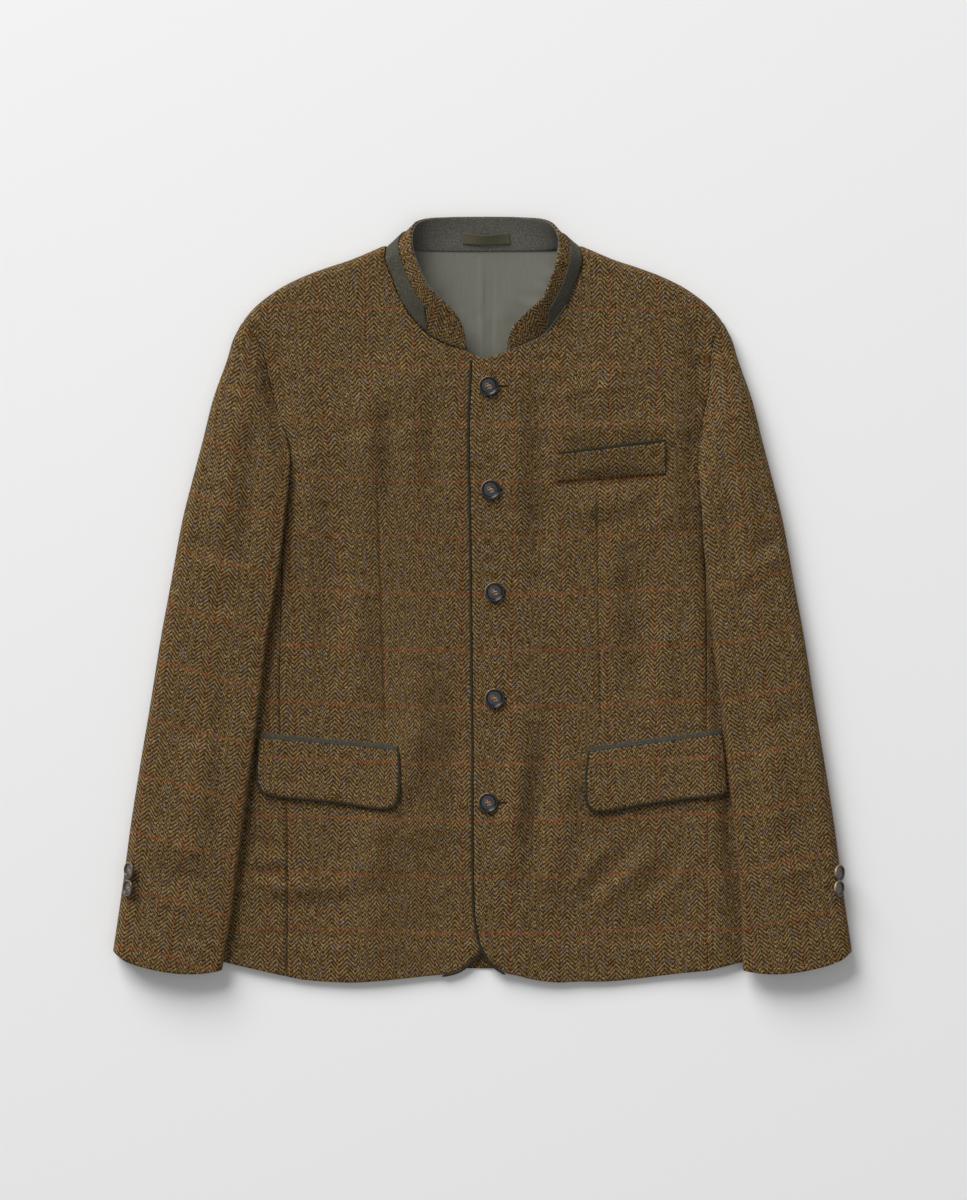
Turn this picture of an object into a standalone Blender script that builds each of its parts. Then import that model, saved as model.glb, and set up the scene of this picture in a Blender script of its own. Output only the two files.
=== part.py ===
"""Tyrolean jacket in herringbone tweed with felt trims, buttoned and laid flat on its back.

Every cut piece is a cloth wall with an outer face and an inner face, sewn edge to edge with its
neighbours (SEAM apart). Plan tables are in millimetres: x from the centre line towards the
wearer's left, y up from the lowest point of the hem. Heights are in millimetres above the
surface that the jacket lies on.
"""

import math

import bpy
import numpy as np

# ---------------------------------------------------------------- driving sizes, millimetres
MM = 0.001
MID_LENGTH = 382.0        # from the hem's lowest point to the middle of the whole length
TWEED = 2.4               # wall of the interlined tweed
LINING = 1.0              # wall of the satin back lining
FELT = 1.2                # wall of the felt trims
SEAM = 0.3                # clearance at seams, and under what lies on a panel
HOLE_SEAM = 0.5           # clearance at the armholes, where both edges are eased round a bend
ROLL_STEPS = 4            # segments in a quarter turn of a rolled edge
UP = np.array((0.0, 0.0, 1.0))

STACK = 0.8               # clearance where one curved panel lies on another
SHOULDER_ROLL = 9.0       # radius of the padded shoulder edge
SIDE_ROLL = 5.0           # radius of the body's side fold
SLEEVE_ROLL_OUT = 11.0    # radius of the sleeve's outer fold
SLEEVE_ROLL_IN = 5.5      # radius of the sleeve's inner fold, which lies on the body
SLEEVE_CROWN = 3.0        # rise of the sleeve's middle over its folds
SUPPORT_RAMP = 24.0       # plan length over which the sleeve climbs on to the body
SUPPORT_MARGIN = 4.0      # plan length that the sleeve keeps its height beyond the body's side
OVERLAP_WIDTH = 30.0      # how far past the centre line the lower front reaches
OVERLAP_BLEND = 70.0      # plan width over which the upper front comes down beside the overlap
ARMPIT_LEVEL = 460.0      # y below which the body ends in its side fold
EDGE_BLEND = 95.0         # plan width over which the body's edge height turns into its middle's
SEAM_SHARE = 0.66         # share of a body piece's length below the armhole
HOLE_SHARE = 0.70         # share of a body piece's length at which the sleeve's own fold starts

FRONT_BUTTON_DIAMETER = 20.0
CUFF_BUTTON_DIAMETER = 16.8  # the two on a cuff kiss: their rims run into each other
BUTTON_THICKNESS = 3.4
BUTTON_STAND = 0.8        # a front button's shank, from the cloth to its underside
CUFF_BUTTON_STAND = 2.2   # a cuff button's shank, longer because it leans over the fold

# ---------------------------------------------------------------- plan tables
# outer fold of a sleeve, shoulder tip to cuff: x outwards, y
SLEEVE_OUTER = (
    (239.5, 660), (249, 642), (255, 622), (269, 582), (279, 542), (289.5, 502), (299.5, 462),
    (310.5, 402), (321.5, 342), (331, 282), (341, 222), (350.5, 162), (358.5, 102), (368.5, 33),
)
# inner fold of each sleeve where it lies on the body, armhole to cuff: x outwards, y
SLEEVE_INNER = {
    "right": ((191.5, 520), (193, 492), (195.5, 470), (199.5, 434), (207.5, 382), (214.5, 342),
              (221, 282), (234, 186), (242.5, 122), (250.5, 62), (259, 14)),
    "left": ((215.5, 504), (217, 487), (218.5, 470), (220.5, 434), (226.5, 380), (231, 324),
             (237, 282), (247, 189), (252, 141), (257, 85), (259, 14)),
}
# cuff edge, outer fold to inner fold: x outwards, y
CUFF_EDGE = ((368.5, 33), (358, 25), (346, 20), (322, 14), (300, 11), (280, 11), (259, 14))
# armhole on the front, shoulder tip to the point where the sleeve's fold starts
ARMHOLE_FRONT = {
    "right": ((239.5, 660), (227, 646), (219, 630), (211, 595), (204, 570), (196.5, 547), (191.5, 520)),
    "left": ((239.5, 660), (231, 643), (227.5, 627), (225.5, 595), (220.5, 568), (216.5, 532),
             (215.5, 504)),
}
# armhole under the sleeve, from that point down to the armpit on the side fold
ARMHOLE_LOW = {
    "right": ((191.5, 520), (193.5, 500), (203, 480), (220.5, 467)),
    "left": ((215.5, 504), (217, 488), (226, 470), (239.5, 462)),
}
# armhole on the back, the side panel's corner to the shoulder tip
ARMHOLE_BACK = {
    "right": ((217.5, 500), (220.5, 542), (224.5, 582), (230.5, 622), (239.5, 660)),
    "left": ((232.5, 496), (231.5, 542), (231.5, 582), (233.5, 622), (239.5, 660)),
}
# side fold of the body, armpit to hem: x outwards, y
SIDE_FOLD = {
    "right": ((220.5, 467), (235.5, 422), (242.5, 362), (246.5, 302), (252.5, 222), (260.5, 122),
              (268, 24)),
    "left": ((239.5, 462), (242.5, 422), (246.5, 362), (249.5, 302), (253.5, 222), (261.5, 122),
             (268, 24)),
}
# seam between front and side panel on top, armhole to hem
SIDE_SEAM = {
    "right": ((195, 494), (200, 422), (201.5, 362), (201.5, 247), (195, 167), (194.5, 7)),
    "left": ((217.5, 486), (222, 422), (223.5, 362), (223.5, 247), (224.5, 167), (224.5, 13)),
}
# seam between back and side panel underneath, armhole to hem
UNDER_SEAM = {
    "right": ((217.5, 500), (211, 422), (210, 362), (212, 222), (220, 122), (227, 20)),
    "left": ((232.5, 496), (218, 422), (212, 362), (212, 222), (220, 122), (227, 20)),
}
# shoulder line, tip to neck point
SHOULDER = ((239.5, 660), (226.5, 675), (202.5, 693), (178.5, 705), (154.5, 714), (130.5, 722),
            (97.5, 736))
# centre front edge, hem to neck: x towards the wearer's left
CENTRE_EDGE = {
    "left": ((23, 10), (10.5, 19), (-0.5, 36), (-5.5, 57), (-7.5, 74), (-9, 252), (-11, 452),
             (-12.5, 552), (-10, 620)),
    "right": ((-40, 8), (-25, 12), (-14.5, 19), (-1.5, 33), (9, 47), (18, 72), (25.5, 122), (25.5, 252),
              (25.5, 452), (25.5, 620)),
}
# hem of each front, side seam to centre edge
FRONT_HEM = {
    "right": ((-194.5, 7), (-178, 4), (-154, 2), (-130, 1), (-106, 2), (-82, 4), (-58, 6.5), (-40, 8)),
    "left": ((224.5, 13), (193.5, 10), (169.5, 7), (145.5, 4), (121.5, 2), (97.5, 2), (73.5, 1),
             (49.5, 4), (37.5, 7), (23, 10)),
}
BACK_HEM = ((-227, 20), (-150, 16), (0, 15), (150, 16), (227, 20))

# body height along the garment: y, height at the middle, height beside the side fold
BODY_HEIGHT = (
    (0, 7.0, 10.0), (80, 7.0, 10.0), (250, 8.0, 10.0), (400, 11.0, 10.5), (470, 14.5, 11.0),
    (500, 16.5, 12.0), (530, 18.5, 16.0), (580, 20.0, 19.0), (640, 20.5, 19.0), (760, 19.0, 18.0),
)

# collar from the right front end round the back to the left front end: plan of the neck seam,
# plan and height of the free top edge, and height of the seam where the back carries it
COLLAR = (
    # seam x, seam y, top x, top y, top z, seam z
    (-16.5, 630, -16, 636, 22, 0), (-26, 633, -19, 650, 26, 0), (-38, 637, -26, 664, 30, 0),
    (-54, 646, -41, 680, 35, 0), (-69, 661, -51, 689, 37, 0), (-82, 681, -58, 698, 37, 0),
    (-92, 706, -66, 716, 36, 0), (-97.5, 721, -70.5, 732, 33.5, 0),
    (-96, 732, -72, 744.5, 30, 10.5), (-87.5, 736.2, -69.5, 755, 24.5, 6.4),
    (-67, 733, -58.5, 761.5, 17, 3.2), (-42, 731.6, -36, 763.5, 12, 2.2),
    (0, 731.4, 0, 764, 11.5, 2.2),
    (42, 731.6, 38, 763.5, 12, 2.2), (67, 733, 62, 761, 17, 3.2), (87.5, 736.2, 73.5, 753.5, 24.5, 6.4),
    (97.5, 732, 77.5, 743, 30, 10.5), (100, 721, 76.5, 730, 33.5, 0), (95, 702, 73, 713, 36, 0),
    (87, 681.5, 68, 698, 37, 0), (75, 663, 60, 681, 37, 0), (61, 646, 48, 670, 35, 0),
    (46, 637.8, 36, 660, 30, 0), (34.5, 633, 28, 649, 26, 0), (25, 630.3, 24.5, 637, 22, 0),
)
NECK_POINTS = (8, 16)     # rows of the collar at the right and left neck points
CENTRE_NECK = {           # neckline of each front from its centre edge to the collar's end
    "right": ((25.5, 620), (2, 623), (-9, 627)),
    "left": ((-10, 620), (4, 622.5), (17, 627)),
}
COLLAR_WALL = 1.8
COLLAR_GAP = 1.35         # plan clearance between the collar and the necklines
FELT_SHARE = 0.55         # share of the collar's height that the felt band covers

# pocket flaps: the first side, the bottom and the last side, x towards the wearer's left, y
FLAP = {
    "right": (((-222.5, 244), (-223.5, 220), (-223.5, 202)),
              ((-223.5, 202), (-219.5, 193), (-211.5, 189), (-150, 182.5), (-97, 176), (-89, 178.5),
               (-85.3, 186)),
              ((-85.3, 186), (-85, 210), (-86, 231.5))),
    "left": (((107.5, 230), (105.5, 205), (105.5, 182)),
             ((105.5, 182), (108.5, 175), (118, 173), (168.5, 181), (244, 190)),
             ((244, 190), (242, 219), (238.5, 247.5))),
}
FLAP_WALL = 2.2
FLAP_LIFT = 0.5           # clearance between a flap and the front that it lies on
PIPING_WIDTH = 2.6
JETTING_WIDTH = 5.6
JETTING_WALL = 1.6
# chest welt: lower edge and upper edge, x towards the wearer's left, y
WELT = (((73.5, 501), (181, 508.5)), ((75.5, 526), (181.5, 538.5)))
WELT_WALL = 1.8
# back lining: lower edge and the half widths at its lower and upper edge
LINING_PLAN = ((-84, 596), (84, 596), (-82, 730.5), (82, 730.5))

FRONT_BUTTONS = ((6, 595), (8, 492), (12, 390), (12, 284), (5.5, 180))
CUFF_BUTTONS = {"right": ((351.2, 110), (352.2, 95)), "left": ((354.8, 110.5), (354.2, 95.5))}
CUFF_BUTTON_TILT = math.radians(38)
# turned button: radius and height as shares of its radius and its thickness
BUTTON_PROFILE = ((0.72, 0.0), (0.96, 0.28), (1.0, 0.62), (0.90, 1.0), (0.76, 0.86), (0.62, 0.55))

LOOP_SPAN = (0.468, 0.552)  # share of the collar's length that the hanger loop spans
LOOP_RISE = (0.16, 0.50)  # share of the collar's height between the loop's edges
LOOP_BOW = 1.8            # how far the loop's middle stands off the collar
LOOP_WALL = 0.8

COLOURS = {
    # name: linear red, green, blue, roughness
    "tweed": (0.085, 0.058, 0.024, 0.92),
    "felt": (0.055, 0.060, 0.048, 0.95),
    "lining": (0.150, 0.150, 0.125, 0.55),
    "loop": (0.075, 0.075, 0.045, 0.60),
    "horn": (0.020, 0.017, 0.016, 0.25),
    "cuff_horn": (0.120, 0.095, 0.080, 0.30),
}


# ---------------------------------------------------------------- curves and patches
def curve(points):
    """Smooth curve through a table's points, as a function of the share of its length."""
    knots = np.array(points, float)
    steps = np.sqrt(np.linalg.norm(np.diff(knots[:, :2], axis=0), axis=1))
    at = np.concatenate(([0.0], np.cumsum(steps)))
    slopes = np.gradient(knots, at, axis=0)
    fine = [knots[0]]
    for k in range(len(knots) - 1):
        span = at[k + 1] - at[k]
        for u in np.linspace(0, 1, 13)[1:]:
            rise = 3 * u**2 - 2 * u**3
            fine.append((1 - rise) * knots[k] + rise * knots[k + 1]
                        + (u**3 - 2 * u**2 + u) * span * slopes[k]
                        + (u**3 - u**2) * span * slopes[k + 1])
    fine = np.array(fine)
    lengths = np.concatenate(([0.0], np.cumsum(np.linalg.norm(np.diff(fine[:, :2], axis=0), axis=1))))
    lengths /= lengths[-1]

    def at_share(share):
        return np.array([np.interp(share, lengths, fine[:, axis]) for axis in range(fine.shape[1])])

    return at_share


def chain(*stretches):
    """One edge of a piece from curves that follow each other. Each stretch is a table and the
    share of the whole edge at which it ends."""
    curves = [curve(table) for table, _ in stretches]
    ends = [end for _, end in stretches]
    starts = [0.0] + ends[:-1]

    def at_share(share):
        k = next((i for i, end in enumerate(ends) if share <= end), len(ends) - 1)
        return curves[k]((share - starts[k]) / (ends[k] - starts[k]))

    return at_share


def trace(edge, steps=60):
    """Points along an edge, for measuring distances to it."""
    return np.array([edge(k / steps)[:2] for k in range(steps + 1)])


def reverse(table):
    return tuple(reversed(table))


def outward(table, side):
    """A table written outwards from the centre line, in the garment's own x."""
    sign = 1.0 if side == "left" else -1.0
    return tuple((sign * row[0], *row[1:]) for row in table)


def started(edge, place):
    """An edge whose first point is moved to a place, over a small share of its length."""
    shift = place[:2] - edge(0)[:2]
    return lambda share: edge(share)[:2] + shift * max(1 - share / 0.02, 0.0)


def patch(start, end, low, high):
    """Plan position on a four-sided piece: start and end are its edges at s = 0 and 1, low and
    high its edges at t = 0 and 1."""
    corners = [edge(share)[:2] for edge in (start, end) for share in (0, 1)]

    def at(s, t):
        across = (1 - t) * low(s)[:2] + t * high(s)[:2]
        along = (1 - s) * start(t)[:2] + s * end(t)[:2]
        flat = ((1 - s) * ((1 - t) * corners[0] + t * corners[1])
                + s * ((1 - t) * corners[2] + t * corners[3]))
        return across + along - flat

    return at


def smooth(x):
    x = min(max(x, 0.0), 1.0)
    return x * x * (3 - 2 * x)


def distance_to(line, x, y):
    """Distance in plan from a point to a polyline."""
    a = line[:-1]
    ab = line[1:] - a
    square = np.maximum((ab * ab).sum(axis=1), 1e-9)
    share = np.clip(((np.array((x, y)) - a) * ab).sum(axis=1) / square, 0, 1)
    nearest = a + ab * share[:, None]
    return float(np.hypot(nearest[:, 0] - x, nearest[:, 1] - y).min())


def edge_at(line, x, y):
    """Distance in plan to a polyline, and the direction straight out over it."""
    a = line[:-1]
    ab = line[1:] - a
    square = np.maximum((ab * ab).sum(axis=1), 1e-9)
    share = np.clip(((np.array((x, y)) - a) * ab).sum(axis=1) / square, 0, 1)
    nearest = a + ab * share[:, None]
    distances = np.hypot(nearest[:, 0] - x, nearest[:, 1] - y)
    k = int(distances.argmin())
    away = np.array((-ab[k][1], ab[k][0], 0.0))
    if away @ (nearest[k][0], nearest[k][1] - MID_LENGTH, 0.0) < 0:
        away = -away
    return float(distances[k]), unit(away)


def contains(outline, x, y):
    """Whether a closed outline in plan holds a point."""
    x0, y0 = outline[:-1, 0], outline[:-1, 1]
    x1, y1 = outline[1:, 0], outline[1:, 1]
    crosses = (y0 > y) != (y1 > y)
    rise = np.where(y1 == y0, 1.0, y1 - y0)
    return bool((crosses & (x < x0 + (y - y0) * (x1 - x0) / rise)).sum() % 2)


def beside(edge, gap):
    """An edge moved sideways in plan, to the right of its own direction."""
    def at_share(share):
        step = 0.002
        ahead = edge(min(share + step, 1.0))[:2] - edge(max(share - step, 0.0))[:2]
        moved = edge(share).copy()
        moved[:2] += gap * unit(np.array((ahead[1], -ahead[0])))
        return moved

    return at_share


def roll_shares(radius, length):
    """Shares of a length that step evenly round a rolled edge at its start."""
    angles = [math.pi / 2 * k / ROLL_STEPS for k in range(ROLL_STEPS + 1)]
    return [radius * (1 - math.cos(angle)) / length for angle in angles]


def unit(v):
    return v / max(np.linalg.norm(v), 1e-12)


# ---------------------------------------------------------------- the body's height
def collar_seam(first, last):
    """The neck seam between two rows of the collar's table."""
    return tuple(row[:2] for row in COLLAR[first:last + 1])


BACK_NECK = collar_seam(*NECK_POINTS)
NECKLINE = {"right": CENTRE_NECK["right"] + collar_seam(0, NECK_POINTS[0]),
            "left": CENTRE_NECK["left"] + reverse(collar_seam(NECK_POINTS[1], len(COLLAR) - 1))}
SHOULDER_LINES = {side: trace(curve(outward(SHOULDER, side))) for side in ("left", "right")}
SIDE_LINES = {side: trace(curve(outward(SIDE_FOLD[side], side))) for side in ("left", "right")}
HOLE_LINES = {side: trace(chain((outward(ARMHOLE_FRONT[side], side), 0.7),
                                (outward(ARMHOLE_LOW[side], side), 1.0)))
              for side in ("left", "right")}
# what the sleeve lies on: the body below the armhole, as a closed outline
BODY_PLANS = {side: np.vstack((trace(curve(outward(ARMHOLE_LOW[side], side)), 20), SIDE_LINES[side],
                               outward(((268, -5), (0, -5), (0, ARMHOLE_LOW[side][0][1])), side),
                               [outward(ARMHOLE_LOW[side], side)[0][:2]]))
              for side in ("left", "right")}


def graph_normal(height, x, y):
    step = 0.25
    dx = (height(x + step, y) - height(x - step, y)) / (2 * step)
    dy = (height(x, y + step) - height(x, y - step)) / (2 * step)
    return unit(np.array((-dx, -dy, 1.0)))


def unrolled_height(x, y):
    """Outer height of the single upper layer of the body, without the shoulder's roll."""
    side = "left" if x > 0 else "right"
    rows = np.array(BODY_HEIGHT)
    middle = np.interp(y, rows[:, 0], rows[:, 1])
    beside = np.interp(y, rows[:, 0], rows[:, 2])
    border = SIDE_LINES[side] if y < ARMPIT_LEVEL else HOLE_LINES[side]
    inside = smooth(distance_to(border, x, y) / EDGE_BLEND)
    return beside + (middle - beside) * inside


def overlap_lift(x):
    """How far the upper front stands over the lower one beside the centre edge."""
    return (TWEED + SEAM) * (1 - smooth((x - OVERLAP_WIDTH) / OVERLAP_BLEND))


def front_unrolled(side, x, y):
    """Outer height and normal of a front at a place in plan, without the shoulder's roll."""
    def height(px, py):
        lift = overlap_lift(px) if side == "left" else 0.0
        return unrolled_height(px, py) + lift

    return height(x, y), graph_normal(height, x, y)


def front_surface(side, x, y):
    """Outer point and normal of a front at a place in plan."""
    top, flat = front_unrolled(side, x, y)
    distance, away = edge_at(SHOULDER_LINES[side], x, y)
    if distance >= SHOULDER_ROLL:
        return (x, y, top), flat
    seam = SHOULDER_ROLL + SEAM / 2
    turn = math.acos(1 - distance / SHOULDER_ROLL)
    rise = top - seam
    normal = unit(away * rise * math.cos(turn) + flat * SHOULDER_ROLL * math.sin(turn))
    return (x, y, seam + rise * math.sin(turn)), normal


def back_surface(x, y):
    """Outer point and normal of the back, which lies face down and rolls up at the shoulders."""
    side = "left" if x > 0 else "right"
    distance, away = edge_at(SHOULDER_LINES[side], x, y)
    if distance >= SHOULDER_ROLL:
        return (x, y, 0.0), -UP
    seam = SHOULDER_ROLL - SEAM / 2
    turn = math.acos(1 - distance / SHOULDER_ROLL)
    normal = unit(away * seam * math.cos(turn) - UP * SHOULDER_ROLL * math.sin(turn))
    return (x, y, seam * (1 - math.sin(turn))), normal


def support(side, x, y):
    """Height of what the underside of a sleeve rests on: the floor, then the body's side."""
    under = BODY_PLANS[side]
    distance = distance_to(under, x, y)
    inside = contains(under, x, y)
    climb = 1.0 if inside else 1 - smooth((distance - SUPPORT_MARGIN) / SUPPORT_RAMP)
    return climb * (unrolled_height(x, y) + STACK)


# ---------------------------------------------------------------- solids
def material(name):
    if name in bpy.data.materials:
        return bpy.data.materials[name]
    red, green, blue, rough = COLOURS[name]
    made = bpy.data.materials.new(name)
    made.use_nodes = True
    shader = made.node_tree.nodes["Principled BSDF"]
    shader.inputs["Base Color"].default_value = (red, green, blue, 1.0)
    shader.inputs["Roughness"].default_value = rough
    shader.inputs["Metallic"].default_value = 0.0
    return made


def solid(name, vertices, faces, finish):
    """A named object from points in millimetres."""
    placed = [(x * MM, (y - MID_LENGTH) * MM, z * MM) for x, y, z in vertices]
    mesh = bpy.data.meshes.new(name)
    mesh.from_pydata(placed, [], faces)
    mesh.validate()
    mesh.materials.append(material(finish))
    made = bpy.data.objects.new(name, mesh)
    bpy.context.scene.collection.objects.link(made)
    mesh.shade_smooth()
    mesh.set_sharp_from_angle(angle=math.radians(40))
    return made


def wall(name, outer, inner, finish):
    """A cloth wall between two grids of points that have the same rows and columns."""
    rows = len(outer)
    columns = len(outer[0])
    points = [tuple(p) for row in outer for p in row] + [tuple(p) for row in inner for p in row]
    behind = rows * columns
    faces = []
    for i in range(rows - 1):
        for j in range(columns - 1):
            a, b = i * columns + j, i * columns + j + 1
            c, d = b + columns, a + columns
            faces += split(points, a, b, c, d)
            faces += [tuple(behind + k for k in face[::-1]) for face in faces[-2:]]
    border = ([j for j in range(columns)] + [i * columns + columns - 1 for i in range(1, rows)]
              + [(rows - 1) * columns + j for j in range(columns - 2, -1, -1)]
              + [i * columns for i in range(rows - 2, 0, -1)])
    for a, b in zip(border, border[1:] + border[:1]):
        faces += split(points, b, a, behind + a, behind + b)
    if enclosed(points, faces) < 0:
        faces = [face[::-1] for face in faces]
    return solid(name, points, faces, finish)


def split(points, a, b, c, d):
    """Two triangles of a quad, along its shorter diagonal."""
    ac = np.linalg.norm(np.subtract(points[a], points[c]))
    bd = np.linalg.norm(np.subtract(points[b], points[d]))
    return [(a, b, c), (a, c, d)] if ac <= bd else [(a, b, d), (b, c, d)]


def enclosed(points, faces):
    """Signed volume inside a closed set of triangles."""
    corners = np.array(points)[np.array(faces)]
    return float(np.einsum("ij,ij->i", corners[:, 0], np.cross(corners[:, 1], corners[:, 2])).sum())


def moved(points, normals, distance):
    """A grid of points moved along its normals."""
    return [[tuple(np.array(p) + distance * np.array(n)) for p, n in zip(row, normal)]
            for row, normal in zip(points, normals)]


def surface_wall(name, places, surface, thickness, finish, lift=0.0):
    """A wall on a surface: its inner face lies lift over the surface, or where lift is 0, its outer
    face is the surface itself."""
    on = [[surface(x, y) for x, y in row] for row in places]
    points = [[p for p, _ in row] for row in on]
    normals = [[n for _, n in row] for row in on]
    if lift > 0:
        inner = moved(points, normals, lift)
        return wall(name, moved(points, normals, lift + thickness), inner, finish)
    return wall(name, points, moved(points, normals, -thickness), finish)


def grid(at, rows, columns):
    return [[at(s, t) for t in columns] for s in rows]


# ---------------------------------------------------------------- body pieces
# shares of the body's length: up the side seams, then up the armholes to the shoulder roll
SEAM_ROWS = tuple(SEAM_SHARE * k / 13 for k in range(14))
FRONT_HOLE_ROWS = (1.0, 0.885, 0.77, 0.65, 0.53, 0.41, 0.29, 0.17)
BACK_HOLE_ROWS = (1.0, 0.7, 0.4, 0.2)
ROLL_ROWS = tuple(roll_shares(0.053, 1.0))[::-1]


def body_rows(hole_rows):
    """Shares of a body piece's length at which it has a row, from hem to shoulder."""
    above = [HOLE_SHARE + (1 - HOLE_SHARE) * (1 - share) for share in hole_rows + ROLL_ROWS]
    return list(SEAM_ROWS) + above


def front_edges(side):
    """The four edges of a front: hem, shoulder, outer edge and centre edge."""
    outer = chain((reverse(outward(SIDE_SEAM[side], side)), SEAM_SHARE),
                  (outward((SIDE_SEAM[side][0], ARMHOLE_LOW[side][0]), side), HOLE_SHARE),
                  (reverse(outward(ARMHOLE_FRONT[side], side)), 1.0))
    shoulder = outward(SHOULDER, side)
    centre = chain((CENTRE_EDGE[side], 0.78), (NECKLINE[side][:-1] + (shoulder[-1],), 1.0))
    return curve(FRONT_HEM[side]), curve(shoulder), outer, centre


def build_front(side):
    """One front from its side seam, armhole and shoulder to its centre edge and neckline."""
    at = patch(*front_edges(side))
    places = grid(at, body_rows(FRONT_HOLE_ROWS), np.linspace(0, 1, 14))
    surface_wall(f"front_{side}", places, lambda x, y: front_surface(side, x, y), TWEED, "tweed")


def back_edges():
    """The four edges of the back: hem, shoulders and neck, right edge, left edge."""
    borders = [chain((reverse(outward(UNDER_SEAM[side], side)), HOLE_SHARE),
                     (outward(ARMHOLE_BACK[side], side), 1.0)) for side in ("right", "left")]
    top = chain((outward(SHOULDER, "right"), 0.36), (BACK_NECK, 0.64),
                (reverse(outward(SHOULDER, "left")), 1.0))
    return curve(BACK_HEM), top, borders[0], borders[1]


def build_back():
    """The whole back, face down on the floor."""
    at = patch(*back_edges())
    places = grid(at, [row * HOLE_SHARE / SEAM_SHARE for row in SEAM_ROWS[:-1]]
                  + body_rows(BACK_HOLE_ROWS)[len(SEAM_ROWS):], np.linspace(0, 1, 20))
    surface_wall("back", places, back_surface, TWEED, "tweed")


def build_side(side):
    """A side panel: from the front's seam round the side fold to the back's seam underneath."""
    sign = 1.0 if side == "left" else -1.0
    top_seam = beside(curve(reverse(outward(SIDE_SEAM[side], side))), sign * SEAM)
    under_seam = beside(curve(reverse(outward(UNDER_SEAM[side], side))), sign * SEAM)
    fold = curve(reverse(outward(SIDE_FOLD[side], side)))
    outer, normals = [], []
    for row in SEAM_ROWS:
        s = row / SEAM_SHARE
        edge = fold(s)
        line, turned = [], []
        for face, seam in ((1, top_seam(s)), (-1, under_seam(s))):
            width = np.linalg.norm(edge - seam)
            away = unit(np.array((*(edge - seam), 0.0)))
            shares = roll_shares(SIDE_ROLL, width) + [0.5 + SIDE_ROLL / width / 2, 1.0]
            half = []
            for share in shares:
                x, y = edge + (seam - edge) * share
                turn = math.acos(1 - min(share * width / SIDE_ROLL, 1.0))
                top = unrolled_height(x, y) if face > 0 else 0.0
                flat = graph_normal(unrolled_height, x, y) if face > 0 else -UP
                z = SIDE_ROLL + (top - SIDE_ROLL) * math.sin(turn)
                half.append(((x, y, z), unit(away * math.cos(turn) + flat * math.sin(turn))))
            ordered = half[::-1] if face > 0 else half[1:]
            line += [p for p, _ in ordered]
            turned += [n for _, n in ordered]
        outer.append(line)
        normals.append(turned)
    wall(f"side_{side}", outer, moved(outer, normals, -TWEED), "tweed")


# ---------------------------------------------------------------- sleeves
SLEEVE_STATIONS = [0.0, 0.012, 0.03, 0.055, 0.085] + list(np.linspace(0.12, 1, 16))
# shares of each sleeve piece's armhole edge at its columns, outer fold to inner fold
HOLE_COLUMNS = {
    "top": ROLL_ROWS[::-1] + FRONT_HOLE_ROWS[::-1],
    "under": tuple(0.5 * share for share in ROLL_ROWS[::-1] + BACK_HOLE_ROWS[::-1])
             + (0.56, 0.62, 0.70, 0.78, 0.86, 0.93, 0.97, 1.0),
}


def build_sleeve(side):
    """A sleeve's upper and under pieces, joined at its outer and its inner fold."""
    sign = 1.0 if side == "left" else -1.0
    outer_fold = curve(outward(SLEEVE_OUTER, side))
    inner_fold = curve(outward(SLEEVE_INNER[side], side))
    cuff = curve(outward(CUFF_EDGE, side))
    low = chain((reverse(outward(ARMHOLE_BACK[side], side)), 0.5),
                (outward((ARMHOLE_BACK[side][0], SIDE_FOLD[side][0]), side), 0.62),
                (reverse(outward(ARMHOLE_LOW[side], side)), 1.0))
    holes = {"top": beside(curve(outward(ARMHOLE_FRONT[side], side)), -sign * HOLE_SEAM),
             "under": beside(low, -sign * SEAM)}
    for face, hole in holes.items():
        plan = patch(hole, cuff, started(outer_fold, hole(0)), started(inner_fold, hole(1)))
        outer, normals = [], []
        for s in SLEEVE_STATIONS:
            line = sleeve_station(side, face, plan, s)
            outer.append([p for p, _ in line])
            normals.append([n for _, n in line])
        wall(f"sleeve_{side}_{face}", outer, moved(outer, normals, -TWEED), "tweed")


def sleeve_station(side, face, plan, s):
    """One row of a sleeve piece, from its outer fold to its inner fold."""
    outer_end, inner_end = plan(s, 0.0), plan(s, 1.0)
    width = np.linalg.norm(inner_end - outer_end)
    roll_out = SHOULDER_ROLL + (SLEEVE_ROLL_OUT - SHOULDER_ROLL) * smooth(s / 0.15)
    middle_in = support(side, *inner_end) + SLEEVE_ROLL_IN
    at_hole = HOLE_COLUMNS[face]
    out_shares = roll_shares(roll_out, width)
    in_shares = [1 - share for share in roll_shares(SLEEVE_ROLL_IN, width)][::-1]
    between = len(at_hole) - len(out_shares) - len(in_shares)
    spread = (out_shares + list(np.linspace(out_shares[-1], in_shares[0], between + 2)[1:-1])
              + in_shares)
    along = smooth(s / 0.085)
    row = []
    for hole_share, share in zip(at_hole, spread):
        t = hole_share + (share - hole_share) * along
        x, y = plan(s, t)
        out_turn = math.acos(1 - min(t * width / roll_out, 1.0))
        in_turn = math.acos(1 - min((1 - t) * width / SLEEVE_ROLL_IN, 1.0))
        step = 0.01
        across = unit(np.array((*(plan(s, min(t + step, 1.0)) - plan(s, max(t - step, 0.0))), 0.0)))
        if face == "top":
            row.append(upper_point(side, s, t, x, y, roll_out, middle_in, out_turn, in_turn, across))
        else:
            row.append(under_point(side, s, x, y, roll_out, middle_in, out_turn, in_turn, across))
    return row


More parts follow.
